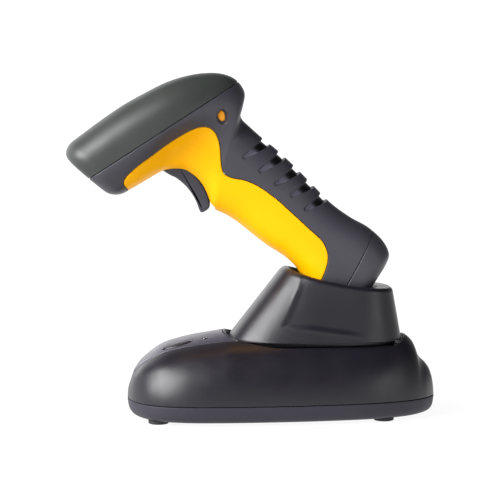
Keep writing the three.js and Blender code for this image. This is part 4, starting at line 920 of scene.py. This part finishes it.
def cup_plan(part, grow, up=0.0, count=CUP_COUNT):
    """Ring of the skirt at a part of its height, grown outwards and lifted."""
    left, left_z = LEFT_X + LEFT_SHIFT * part, CUP_FOOT + LEFT_RISE * part
    right, right_z = RIGHT_X + RIGHT_SHIFT * part, CUP_FOOT + RIGHT_RISE * part
    c, s = circle_parts(count)
    reach = (right - left) / 2 + grow
    x = (left + right) / 2 + reach * signed_power(c, np.where(c < 0, 2 / 2.4, 2 / 3))
    t = (x - left) / (right - left)
    tc = np.clip(t, 0, 1)
    half = 34.5 - 6.5 * part + (-4.5 + 3 * part) * tc + grow
    y = half * signed_power(s, 2 / 3)
    sag = RIM_SAG * part * 4 * tc * (1 - tc)
    return np.stack([x, y, left_z + (right_z - left_z) * t - sag + up], 1)


def add_dome_fields(surface):
    x, y, z = surface.pos.T
    plan = np.stack([x, y], 1)
    round_cup = polygon_distance(plan, cup_plan(0, 1.4, count=160)[:, :2])
    outline = spaced(np.vstack([TONGUE, (TONGUE[:-1] * MIRROR)[::-1]]), 120)
    tongue = np.maximum(polygon_distance(plan, outline), 1.32 - round_cup)
    ku, kv = x - KEY[0], y - KEY[1]
    lens = np.abs(ku / KEY_HALF_X) ** KEY_POWER + np.abs(kv / KEY_HALF_Y) ** KEY_POWER
    lens = (lens ** (1 / KEY_POWER) - 1) * KEY_SCALE
    button = np.where(np.hypot(ku, kv) < 20, lens, CRADLE_FAR)
    led = np.hypot(x - LED[0], y - LED[1]) - 1.5
    surface.fields = {
        "pocket": np.maximum(round_cup, DECK - z),
        "tongue": tongue,
        "bottom": BASE_SEAM + SEAM_GAP - z,
        "button": button,
        "strip": np.maximum.reduce([tongue + 0.22, -button + 0.4, -led + 0.3]),
    }


def cradle_cover():
    cover = dome.copy()
    roll_rim(cover, "pocket", 0.0, 0.6, fade=lambda pos: smooth((pos[:, 2] - DECK) / 1.5))
    recess(cover, "pocket", 0.0, lambda z: DECK)
    roll_rim(cover, "tongue", 0.12, 0.7)
    recess(cover, "tongue", 0.12, lambda z: z - 1.5)
    # the opening the key moves in
    cover.fields["key_opening"] = -cover.fields["button"]
    cover.split("key_opening", -0.4)
    cover.keep("key_opening", -0.4)
    roll_edges(cover, "bottom", 0.0, 0.5, keep=False)
    cover.compact().weld(0.004)
    ob = shell_object("cradle_cover", cover, 1.9)
    piece(ob, "cradle", "cradle_black", "cradle_base_cover")


def inlay_strip():
    strip = trimmed(take(dome, "tongue", 2), "strip", 0.0, 0.6)
    ob = shell_object("inlay_strip", strip, 1.0)
    piece(ob, "cradle", "inlay_plastic", "front_inlay")


def page_key():
    """A lens-shaped key that bulges a little above the inlay."""
    key = trimmed(take(dome, "button", 1), "button", 0.0, 0.8)
    inward = np.clip(-key.fields["button"] / KEY_SCALE, 0, 1)
    key.pos = key.pos + key.nor * (0.25 + 0.35 * np.sqrt(inward))[:, None]
    ob = shell_object("page_key", key, 1.6)
    piece(ob, "page_button", "button_plastic", "page_button")


def indicator():
    away = np.hypot(dome.pos[:, 0] - LED[0], dome.pos[:, 1] - LED[1])
    top = dome.pos[np.argmin(away)][2] - 0.1
    rings = [place_z(circle(LED_RADIUS, 32, *LED), z) for z in (15.3, top)]
    rings += domed_rings(place_z, LED, LED_RADIUS, 0.45, base=top, steps=5, count=32)
    ob = ring_stack("indicator_lens", rings)
    piece(ob, "cradle", "lens_amber", "cradle_light_pipe")


dome = dome_surface()
add_dome_fields(dome)
cradle_cover()
inlay_strip()
page_key()
indicator()

# ------------------------------------------------------------------ the cup
# sections of the well from above its mouth to its floor: -x end (x, z), +x end (x, z), half width
WELL = [
    [[1.0, 97.5], [60.5, 88.2], 27.0], [[5.2, 89.3], [59.3, 80.6], 24.6],
    [[8.6, 83.0], [58.0, 78.0], 22.6], [[12.6, 74.6], [56.6, 75.2], 21.0],
    [[15.6, 66.4], [52.8, 70.6], 18.6], [[18.4, 60.6], [50.2, 66.2], 16.2],
    [[22.6, 56.2], [48.4, 63.6], 14.0], [[25.4, 55.6], [47.6, 63.0], 12.6],
]
# flat panel pressed into each side of the skirt: drawn edge and the corners beyond it, as (x, z)
PANEL_EDGE = [
    [9.4, 79.0], [6.8, 73.5], [2.4, 64.0], [-1.2, 56.6], [4.0, 55.9], [15.3, 55.0],
    [32.0, 52.6], [52.0, 49.4],
]
PANEL_REST = [[75, 46], [75, 90], [12, 92]]
# rounded foot of the skirt: inset, height
FOOT_ROUND = [
    (2.4, 1.2), (2.1, 0.35), (1.6, 0.08), (1.0, 0.0), (0.45, 0.08), (0.12, 0.3), (0.0, 0.7),
]
SKIRT_STEPS, RIM_STEPS = 46, 10
SKIRT_TOP, RIM_ROUND = 0.93, 2.2
LIP_RADIUS = 0.7


def rim_z(x):
    left, left_z = LEFT_X + LEFT_SHIFT, CUP_FOOT + LEFT_RISE
    span = RIGHT_X + RIGHT_SHIFT - left
    t = np.clip((x - left) / span, 0, 1)
    drop = (CUP_FOOT + RIGHT_RISE - left_z) * (x - left) / span
    return left_z + drop - RIM_SAG * 4 * t * (1 - t)


def skirt_rings():
    rings = [cup_plan(0.1, -2.6)]
    rings += [cup_plan(0, -inset, up) for inset, up in FOOT_ROUND]
    rings += [cup_plan(part, 0) for part in np.linspace(0.03, SKIRT_TOP, SKIRT_STEPS)]
    for k in range(1, RIM_STEPS + 1):
        a = math.pi / 2 * k / RIM_STEPS
        part = SKIRT_TOP + 0.07 * math.sin(a)
        rings.append(cup_plan(part, -RIM_ROUND * (1 - math.cos(a))))
    return rings


def well_sections():
    c, s = circle_parts(CUP_COUNT)
    along, across = signed_power(c, 2 / 3.4), signed_power(s, 2 / 2.8)
    sections = []
    for (x0, z0), (x1, z1), half in WELL:
        x = (x0 + x1) / 2 + (x1 - x0) / 2 * along
        z = (z0 + z1) / 2 + (z1 - z0) / 2 * along
        sections.append(np.stack([x, half * across, z], 1))
    return np.array(sections)


def well_mouth(sections):
    """Where each line down the well passes the rim's surface, and its section number there."""
    gap = sections[:, :, 2] - rim_z(sections[:, :, 0])
    mouth, start = np.zeros((CUP_COUNT, 3)), np.zeros(CUP_COUNT)
    for j in range(CUP_COUNT):
        for k in range(len(WELL) - 1):
            if gap[k, j] >= 0 > gap[k + 1, j]:
                t = gap[k, j] / (gap[k, j] - gap[k + 1, j])
                mouth[j] = sections[k, j] * (1 - t) + sections[k + 1, j] * t
                start[j] = k + t
                break
    return mouth, start


def rim_and_well_rings():
    """Over the flat rim, round the lip, down the well and through the opening in its floor."""
    sections = well_sections()
    mouth, start = well_mouth(sections)
    edge = cup_plan(1.0, -RIM_ROUND)
    toward = mouth - edge
    distance = np.linalg.norm(toward, axis=1)[:, None]
    rings = []
    for t in (0.25, 0.5, 0.75):
        shorten = np.maximum(1 - LIP_RADIUS / np.maximum(distance, 0.9), 0.05)
        ring = edge + toward * t * shorten
        ring[:, 2] = rim_z(ring[:, 0])
        rings.append(ring)
    back = toward / (distance + 1e-9) * np.minimum(LIP_RADIUS, distance * 0.4)
    for k in range(5):
        a = math.pi / 2 * k / 4
        ring = mouth - back * (1 - math.sin(a))
        ring[:, 2] = rim_z(ring[:, 0]) - LIP_RADIUS * (1 - math.cos(a))
        rings.append(ring)
    last, below_lip, steps = len(WELL) - 1, 0.25, 28
    column = np.arange(CUP_COUNT)
    for m in range(1, steps + 1):
        k = start + below_lip + (last - start - below_lip) * m / steps
        i = np.clip(np.floor(k).astype(int), 0, last - 1)
        t = (k - i)[:, None]
        rings.append(sections[i, column] * (1 - t) + sections[i + 1, column] * t)
    u = (rings[-1][:, [0, 2]] - HEEL) @ HEEL_ALONG
    v = rings[-1][:, 1]
    fit = 1 / np.maximum(np.abs(u) / 4.4, np.abs(v) / 9.6)
    for height in (-1.8, -4.0):
        side = HEEL + np.outer(u * fit, HEEL_ALONG) + height * HEEL_UP
        rings.append(np.stack([side[:, 0], v * fit, side[:, 1]], 1))
    return rings


def press_panels(rings):
    """Sinks a panel into each side of the skirt, with a low ridge round it."""
    panel = np.vstack([spaced(PANEL_EDGE, 60), PANEL_REST])
    normals = grid_normals(rings)
    first = 1 + len(FOOT_ROUND)
    full = first + SKIRT_STEPS
    for i in range(first, full + RIM_STEPS):
        x, y, z = rings[i].T
        inside = polygon_distance(rings[i][:, [0, 2]], panel)
        sideways = smooth((np.abs(y) - 17) / 6) * smooth((56 - x) / 26)
        fade = 1.0 if i < full else max(0.0, 1 - (i - full + 1) / 8)
        sunk = 0.75 * smooth(-inside / 3.0) * sideways * fade * smooth((86 - z) / 14)
        ridge = 0.22 * np.exp(-((inside - 0.5) / 0.8) ** 2) * sideways * fade
        ridge = ridge * smooth((x - 2) / 6)
        rings[i] += normals[i] * (ridge - sunk)[:, None]


def cup():
    rings = np.array(skirt_rings() + rim_and_well_rings())
    press_panels(rings)
    ob = ring_stack("cup_shell", list(rings), caps=False, sharp_degrees=40)
    piece(ob, "cradle", "cradle_black", "cradle_cup")


def cup_foot():
    """A ring under the skirt, standing on the deck."""
    rings = []
    for inset, z in [
        (6.2, 49.5), (6.2, 45.0), (5.9, 44.4), (5.5, 44.3), (4.3, 44.3), (3.9, 44.4),
        (3.7, 44.8), (3.6, 49.5),
    ]:
        rings.append(place_z(cup_plan(0, -inset)[:, :2], z))
    ob = ring_stack("cup_foot", rings + rings[:1], caps=False)
    piece(ob, "cradle", "cradle_black", "cradle_cup")


cup()
cup_foot()

# ------------------------------------------------------------------ bottom plate and feet
PAN_POINTS = 360
PAN_CENTRE, PAN_HALF_X, PAN_HALF_Y = 0.8, 92.5, 49.5
# profile of the plate: inset, z
PAN_EDGE = [(0.5, 12.05), (0.22, 12.0), (0.06, 11.85), (0.0, 11.55)]
PAN_SIDE = [
    [0.0, 11.5], [0.25, 9.0], [0.7, 6.6], [1.5, 4.8], [2.8, 3.4], [5.2, 2.3], [9.0, 1.75],
    [12.0, 1.7],
]
PAN_FLAT = [(inset, 1.7) for inset in np.linspace(14, 48.6, 24)]
BASE_SCREWS = [(-58, 27), (-58, -27), (36, 27), (36, -27)]
FEET = [(-73.5, 29), (-73.5, -29), (60, 25), (60, -25)]
# profile of a foot: radius, z
FOOT_PROFILE = [
    (0.1, 2.3), (5.6, 2.3), (5.95, 2.15), (6.0, 1.9), (6.0, 0.9), (5.9, 0.45), (5.6, 0.15),
    (5.1, 0.0), (3.2, 0.0), (2.8, 0.25), (0.1, 0.3),
]


def pan_surface():
    x = plan_stations(0, PAN_POINTS // 2 + 1)
    half = np.stack([x, half_width(x)], 1)
    half[0], half[-1] = HALF_WIDTH[0], HALF_WIDTH[-1]
    x, y = np.vstack([half, (half[1:-1] * MIRROR)[::-1]]).T
    rings = []
    for inset, z in [*PAN_EDGE, *catmull(PAN_SIDE, np.linspace(0, 7, 36)), *PAN_FLAT]:
        kx, ky = 1 - inset / PAN_HALF_X, 1 - inset / PAN_HALF_Y
        ring = [PAN_CENTRE + (x - PAN_CENTRE) * kx, y * ky, np.full(len(x), z)]
        rings.append(np.stack(ring, 1))
    grid = np.array(rings)
    normals = grid_normals(grid)
    normals[-1] = [0, 0, -1]
    n = len(x)
    centre = len(grid) * n
    last = centre - n
    polys = ring_quads(len(grid), n)
    polys += [[last + j, last + (j + 1) % n, centre] for j in range(n)]
    pos = np.vstack([grid.reshape(-1, 3), [[PAN_CENTRE, 0, 1.7]]])
    return Surface(pos, np.vstack([normals.reshape(-1, 3), [[0, 0, -1.0]]]), polys)


def bottom_pan():
    """The plate with a rectangular bay, four foot recesses and four screw recesses."""
    pan = pan_surface()
    x, y, z = pan.pos.T

    def rounds(places, radius):
        return np.min([np.hypot(x - cx, y - cy) - radius for cx, cy in places], axis=0)

    for name, field, floor_z in (
        ("bay", round_rect_distance(x - 56.2, y, 20.2, 14.8, 1.2), 13.3),
        ("feet", rounds(FEET, 6.4), 2.6),
        ("screws", rounds(BASE_SCREWS, 3.2), 4.5),
    ):
        pan.fields[name] = np.where(z < 8, field, CRADLE_FAR)
        pan_floors[name] = floor_z
    for name, floor_z in pan_floors.items():
        recess(pan, name, 0.0, lambda old, floor_z=floor_z: floor_z)
    ob = shell_object("bottom_pan", pan.compact(), 0.9)
    piece(ob, "cradle", "plate_plastic", "cradle_bottom_plate")


def rubber_foot(number, x, y):
    rings = [place_z(circle(radius, 48, x, y), z) for radius, z in FOOT_PROFILE]
    ob = ring_stack("rubber_foot_%d" % number, rings)
    piece(ob, "cradle", "foot_rubber", "foot_%d" % number)


pan_floors = {}  # recess name: z of its floor
bottom_pan()
for foot_number, (foot_x, foot_y) in enumerate(FEET, 1):
    rubber_foot(foot_number, foot_x, foot_y)


# ------------------------------------------------------------------ shader graphs
def display(r, g, b):
    """Linear colour from 0..255 display values."""
    out = []
    for v in (r, g, b):
        v /= 255
        out.append(v / 12.92 if v <= 0.04045 else ((v + 0.055) / 1.055) ** 2.4)
    return tuple(out) + (1.0,)


def scaled(colour, factor, lift=0.0):
    return tuple(min(1.0, c * factor + lift) for c in colour[:3]) + (1.0,)


class Graph:
    """Adds nodes to a tree; an input is given as a value or as another node's output."""

    def __init__(self, tree):
        self.tree = tree

    def fill(self, node, inputs):
        for key, value in inputs.items():
            if isinstance(value, bpy.types.NodeSocket):
                self.tree.links.new(value, node.inputs[key])
            else:
                node.inputs[key].default_value = value

    def node(self, kind, inputs={}, **settings):
        node = self.tree.nodes.new("ShaderNode" + kind)
        for key, value in settings.items():
            setattr(node, key, value)
        self.fill(node, inputs)
        return node

    def span(self, value, of, to=(0.0, 1.0)):
        """Maps the range of onto the range to."""
        ends = {"From Min": of[0], "From Max": of[1], "To Min": to[0], "To Max": to[1]}
        return self.node("MapRange", {**ends, "Value": value}).outputs["Result"]

    def math(self, operation, a, b):
        return self.node("Math", {0: a, 1: b}, operation=operation).outputs[0]

    def times(self, a, b):
        return self.math("MULTIPLY", a, b)

    def mix(self, fac, a, b):
        return self.node("Mix", {0: fac, 6: a, 7: b}, data_type="RGBA").outputs[2]


class Material(Graph):
    def __init__(self, name):
        self.mat = bpy.data.materials.new(name)
        self.mat.use_nodes = True
        super().__init__(self.mat.node_tree)
        self.place = self.node("TexCoord").outputs["Object"]
        self.geometry = self.node("NewGeometry")

    def noise(self, scale, detail=2.0, rough=0.5, stretch=None):
        place = self.place
        if stretch:
            inputs = {"Scale": stretch, "Vector": place}
            place = self.node("Mapping", inputs).outputs["Vector"]
        inputs = {"Scale": scale, "Detail": detail, "Roughness": rough, "Vector": place}
        return self.node("TexNoise", inputs).outputs["Fac"]

    def cells(self, scale):
        inputs = {"Scale": scale, "Vector": self.place}
        return self.node("TexVoronoi", inputs).outputs["Distance"]

    def bump(self, height, strength, depth_mm):
        inputs = {"Strength": strength, "Distance": depth_mm * MM, "Height": height}
        return self.node("Bump", inputs).outputs["Normal"]

    def edges(self):
        return self.span(self.geometry.outputs["Pointiness"], of=(0.52, 0.62))

    def edge_mix(self, amount, base, colour):
        """Tints the convex edges."""
        return self.mix(self.times(self.edges(), amount), base, colour)

    def finish(self, **inputs):
        """Sets the surface's inputs; underscores stand for spaces."""
        bsdf = self.tree.nodes["Principled BSDF"]
        self.fill(bsdf, {key.replace("_", " "): value for key, value in inputs.items()})
        return self.mat


# ------------------------------------------------------------------ materials
MID = (0.3, 0.7)  # the range most of a noise's values fall in


def moulded(name, colour, rough, grain=1500.0, depth=0.02, vary=0.08, tint=None, wear=0.08,
            spec=0.5, coat=0.0, scuff=0.06, painted_light_shade=None):
    """Moulded plastic: grain, slow colour drift, uneven sheen, lighter edges, faint scuffs, and
    where given, painted light and shade from an attribute.
    """
    n = Material(name)
    drift = n.noise(scale=28.0, detail=3.0, rough=0.55)
    smear = n.noise(scale=75.0, detail=4.0, rough=0.6)
    base = n.mix(n.span(drift, of=MID), scaled(colour, 1 - vary), scaled(colour, 1 + vary))
    if tint:
        base = n.mix(n.span(smear, of=(0.4, 0.75), to=(0.0, 0.35)), base, tint)
    patchy = n.span(n.noise(scale=420.0, detail=3.0), of=(0.35, 0.65))
    edge = n.times(n.edges(), patchy)
    base = n.mix(n.times(edge, wear * 3), base, scaled(colour, 1.5, lift=0.012))
    if painted_light_shade:
        # an attribute mixes in a painted light colour above 0 and a painted shade colour below
        attribute, above, below = painted_light_shade
        value = n.node("Attribute", attribute_name=attribute).outputs["Fac"]
        base = n.mix(n.span(value, of=(0.0, 1.0)), base, above)
        base = n.mix(n.span(value, of=(0.0, -1.0)), base, below)
    lines = n.noise(scale=160.0, detail=5.0, rough=0.7, stretch=(1.0, 6.0, 1.0))
    scratch = n.span(lines, of=(0.62, 0.72))
    sheen = n.span(smear, of=MID, to=(rough - 0.04, rough + 0.05))
    rough_value = n.math("ADD", sheen, n.times(scratch, scuff))
    fine = n.cells(grain)
    coarse = n.noise(scale=grain * 0.35, detail=3.0, rough=0.6)
    height = n.math("ADD", n.times(fine, 0.6), n.times(coarse, 0.8))
    return n.finish(
        Base_Color=base, Roughness=rough_value, Specular_IOR_Level=spec, Coat_Weight=coat,
        Coat_Roughness=0.12, Normal=n.bump(height, strength=0.5, depth_mm=depth),
    )


def metal(name, colour, rough):
    """Metal: fine drawn lines, slow tarnish, bright edges."""
    n = Material(name)
    tarnish = n.noise(scale=350.0, detail=4.0, rough=0.6)
    base = n.mix(n.span(tarnish, of=(0.35, 0.7)), colour, scaled(colour, 0.72))
    base = n.edge_mix(0.5, base, scaled(colour, 1.3))
    lines = n.noise(scale=900.0, stretch=(1.0, 1.0, 18.0))
    return n.finish(
        Base_Color=base, Metallic=1.0,
        Roughness=n.span(lines, of=MID, to=(rough - 0.07, rough + 0.09)),
        Normal=n.bump(lines, strength=0.4, depth_mm=0.006),
    )


def rubber(name, colour=(0.012, 0.012, 0.012, 1.0), rough=0.82):
    """Matt rubber with dust and greyed edges."""
    n = Material(name)
    drift = n.noise(scale=60.0, detail=4.0)
    base = n.mix(n.span(drift, of=MID), colour, scaled(colour, 1.6, lift=0.004))
    dust = n.span(n.noise(scale=520.0, detail=4.0, rough=0.7), of=(0.55, 0.75))
    base = n.mix(n.times(dust, 0.12), base, display(120, 118, 112))
    return n.finish(
        Base_Color=n.edge_mix(0.25, base, display(70, 70, 70)),
        Roughness=n.span(drift, of=MID, to=(rough - 0.08, rough + 0.08)),
        Normal=n.bump(n.cells(1400.0), strength=0.6, depth_mm=0.02),
    )


def glassy(name, colour, rough=0.05, alpha=0.45):
    """Tinted polished window: faint dust, and wiping marks in its gloss."""
    n = Material(name)
    wipe = n.noise(scale=90.0, detail=4.0, rough=0.6, stretch=(1.0, 5.0, 1.0))
    dust = n.span(n.noise(scale=1300.0, detail=3.0), of=(0.6, 0.75))
    base = n.mix(n.times(dust, 0.12), colour, display(150, 148, 145))
    return n.finish(
        Base_Color=n.edge_mix(0.2, base, scaled(colour, 1.5)),
        Roughness=n.span(wipe, of=(0.35, 0.7), to=(rough, rough + 0.1)),
        Normal=n.bump(wipe, strength=0.15, depth_mm=0.004),
        Alpha=alpha, Coat_Weight=0.6, Coat_Roughness=0.03,
    )


def board(name, colour):
    """Printed board: solder mask with slightly raised, lighter lines."""
    n = Material(name)
    brick = {"Scale": 260.0, "Mortar Size": 0.06, "Vector": n.place}
    traces = n.node("TexBrick", brick).outputs["Fac"]
    drift = n.noise(scale=140.0, detail=3.0)
    base = n.mix(n.span(drift, of=MID), colour, scaled(colour, 1.35))
    base = n.mix(n.times(traces, 0.45), base, scaled(colour, 2.2, lift=0.02))
    return n.finish(
        Base_Color=n.edge_mix(0.4, base, display(150, 140, 90)),
        Roughness=n.span(drift, of=MID, to=(0.28, 0.42)),
        Normal=n.bump(traces, strength=0.5, depth_mm=0.03),
    )


def translucent(name, colour, rough=0.2):
    """Milky plastic that lets light through."""
    n = Material(name)
    drift = n.noise(scale=200.0, detail=3.0)
    base = n.mix(n.span(drift, of=MID), colour, scaled(colour, 0.86))
    return n.finish(
        Base_Color=n.edge_mix(0.3, base, (1.0, 1.0, 1.0, 1.0)),
        Roughness=n.span(drift, of=MID, to=(rough - 0.05, rough + 0.06)),
        Normal=n.bump(n.cells(1200.0), strength=0.2, depth_mm=0.01),
        Subsurface_Weight=0.25, Subsurface_Radius=(0.002, 0.002, 0.002), Coat_Weight=0.3,
    )


# painted light and shade for the housing's groove floors: a lit violet-grey, and near-black shade
GROOVE_PAINTED_LIGHT = ("groove_painted_light", display(104, 102, 118), (0.002, 0.002, 0.002, 1.0))
MATS = {
    "top_shell": moulded("Top shell, satin green-grey", display(46, 49, 47), rough=0.46,
                         depth=0.016, vary=0.05),
    "shell": moulded("Housing, satin dark grey", display(54, 53, 61), rough=0.46, grain=1400,
                     vary=0.06, painted_light_shade=GROOVE_PAINTED_LIGHT),
    "grip_yellow": moulded("Front cover, bright yellow", (0.96, 0.45, 0.0, 1.0), rough=0.4,
                           grain=1400, depth=0.014, vary=0.02, tint=(0.96, 0.42, 0.0, 1.0),
                           wear=0.0, spec=0.12, scuff=0.04),
    "end_cap": moulded("End cap, satin dark grey", display(55, 54, 61), rough=0.46, grain=1400,
                       vary=0.06),
    "plug": moulded("Plug, orange yellow", (0.8, 0.3, 0.002, 1.0), rough=0.3, grain=1600,
                    depth=0.01, vary=0.06, wear=0.0, spec=0.35),
    "trigger_plastic": moulded("Trigger, dark grey", display(54, 54, 66), rough=0.4,
                               depth=0.015, vary=0.06, wear=0.1),
    "bezel": moulded("Window bezel, black", display(20, 20, 22), rough=0.55, grain=1700,
                     vary=0.1, wear=0.2),
    "window_glass": glassy("Window, dark red", (0.05, 0.006, 0.008, 1.0)),
    "gasket": rubber("Gasket rubber"),
    "frame_plastic": moulded("Inner plastic, black", display(26, 26, 28), rough=0.55,
                             grain=1300, depth=0.03, vary=0.12, wear=0.25),
    "steel": metal("Steel, fine brushed", (0.55, 0.56, 0.58, 1.0), rough=0.32),
    "led_white": translucent("Diffuser, milky", (0.78, 0.78, 0.74, 1.0)),
    "circuit": board("Circuit board, green", (0.02, 0.14, 0.06, 1.0)),
    "cell_wrap": moulded("Cell wrap, blue", (0.03, 0.12, 0.4, 1.0), rough=0.3, grain=900,
                         depth=0.01, vary=0.1, wear=0.1, coat=0.3),
    "contact_gold": metal("Gold plate", (0.86, 0.58, 0.2, 1.0), rough=0.24),
    "cradle_black": moulded("Cradle, black fine texture", display(22, 20, 28), rough=0.37),
    "inlay_plastic": moulded("Inlay, satin black", display(56, 53, 66), rough=0.34,
                             depth=0.018),
    "button_plastic": moulded("Key, dark grey", display(38, 35, 42), rough=0.32, depth=0.015,
                              wear=0.1),
    "lens_amber": glassy("Indicator, smoked", (0.03, 0.026, 0.03, 1.0), rough=0.08, alpha=0.9),
    "plate_plastic": moulded("Bottom plate, matt", display(36, 33, 45), rough=0.58, grain=1200,
                             depth=0.03),
    "foot_rubber": rubber("Foot rubber"),
}
# slots for CAD nodes the record gives none, by words in their names
FALLBACK = {
    "steel": ("screw", "pin", "spring", "ballast", "radio"),
    "contact_gold": ("charge_", "contact"),
    "circuit": ("board",),
    "cell_wrap": ("battery_pack",),
    "led_white": ("led", "light"),
    "window_glass": ("lens",),
}


def find_slots(record, slots):
    """Collects node name -> slot from wherever the record keeps it."""
    if not isinstance(record, dict):
        return
    for key, value in record.items():
        if key != "subparts" or not isinstance(value, list):
            find_slots(value, slots)
            continue
        for part in value:
            if isinstance(part, dict):
                slot = part.get("material_slot") or part.get("material") or part.get("slot")
                for node in part.get("nodes") or [part.get("node") or part.get("name")]:
                    if slot and node:
                        slots[node] = slot


def dress(ob, slot):
    ob.data.materials.clear()
    ob.data.materials.append(MATS[slot])


def dress_all():
    slots = {}
    find_slots(frame["record"], slots)
    for name, ob in frame["nodes"].items():
        slot = slots.get(name)
        if slot not in MATS:
            matches = (key for key, words in FALLBACK.items() if any(w in name for w in words))
            slot = next(matches, "frame_plastic")
        dress(ob, slot)
        if not ob.hide_render:
            shade_smooth(ob.data, 30)
    for ob in PIECES:
        dress(ob, ob["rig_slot"])


dress_all()


# ------------------------------------------------------------------ floor, light, camera
def make_floor():
    """A pale floor that turns into an even glow away from the origin."""
    mesh = bpy.data.meshes.new("floor")
    mesh.from_pydata([(-6, -6, 0), (6, -6, 0), (6, 6, 0), (-6, 6, 0)], [], [[0, 1, 2, 3]])
    ob = bpy.data.objects.new("floor", mesh)
    bpy.context.scene.collection.objects.link(ob)
    mat = bpy.data.materials.new("Pale floor")
    mat.use_nodes = True
    g = Graph(mat.node_tree)
    bsdf = g.tree.nodes["Principled BSDF"]
    pale = (0.93, 0.93, 0.93, 1)
    g.fill(bsdf, {"Base Color": pale, "Roughness": 0.9, "Specular IOR Level": 0.0})
    glow = g.node("Emission", {"Strength": 1.08})
    position = g.node("NewGeometry").outputs["Position"]
    distance = g.node("VectorMath", {0: position}, operation="LENGTH").outputs["Value"]
    fade = g.span(distance, of=(0.1, 0.24), to=(0.86, 1.0))
    inputs = {"Fac": fade, 1: bsdf.outputs["BSDF"], 2: glow.outputs["Emission"]}
    both = g.node("MixShader", inputs)
    g.fill(g.tree.nodes["Material Output"], {"Surface": both.outputs["Shader"]})
    mesh.materials.append(mat)


def make_world():
    """The camera sees white; all else sees a room bright low down, darker to +x and above."""
    world = bpy.data.worlds.new("Studio")
    bpy.context.scene.world = world
    world.use_nodes = True
    g = Graph(world.node_tree)
    g.tree.nodes.clear()
    ray = g.node("TexCoord").outputs["Generated"]
    direction = g.node("SeparateXYZ", {0: ray}).outputs
    low = g.span(direction["Z"], of=(0.22, 0.5), to=(1.0, 0.06))
    leftward = g.span(direction["X"], of=(0.6, -0.1), to=(0.22, 0.85))
    level = g.times(low, leftward)
    soft = g.node("Background", {"Color": (1, 1, 1, 1), "Strength": level})
    white = g.node("Background", {"Color": (1, 1, 1, 1), "Strength": 1.15})
    mixed = g.node("MixShader", {
        "Fac": g.node("LightPath").outputs["Is Camera Ray"],
        1: soft.outputs["Background"],
        2: white.outputs["Background"],
    })
    g.node("OutputWorld", {"Surface": mixed.outputs["Shader"]})


def aim(ob, place, target):
    ob.location = place
    direction = Vector(target) - Vector(place)
    ob.rotation_euler = direction.to_track_quat("-Z", "Y").to_euler()


def area(name, place, width, height, power):
    """A rectangular light aimed at the product; metres and watts."""
    light = bpy.data.lights.new(name, "AREA")
    light.shape = "RECTANGLE"
    light.size, light.size_y = width, height
    light.energy = power
    ob = bpy.data.objects.new(name, light)
    bpy.context.scene.collection.objects.link(ob)
    aim(ob, place, (0.0, 0.0, 0.1))


def make_camera():
    data = bpy.data.cameras.new("camera")
    ob = bpy.data.objects.new("camera", data)
    bpy.context.scene.collection.objects.link(ob)
    data.sensor_width = 36
    data.lens = 138.7
    data.clip_start, data.clip_end = 0.05, 30
    eye = Vector(((-86.3 - ORIGIN_X) * MM, -1.150, 0.1926))
    look = Vector(((-18.0 - ORIGIN_X) * MM, 0.0, 0.0996))
    aim(ob, eye, look)
    bpy.context.scene.camera = ob


make_floor()
make_world()
area("key_left", (-0.98, -0.5, 0.75), width=1.25, height=0.9, power=46.0)
area("fill_right", (1.15, -0.95, 0.3), width=0.5, height=0.5, power=2.0)
area("back_low", (-0.3, 1.5, 0.5), width=1.5, height=0.8, power=3.6)
make_camera()
bpy.context.scene.view_settings.view_transform = "Standard"
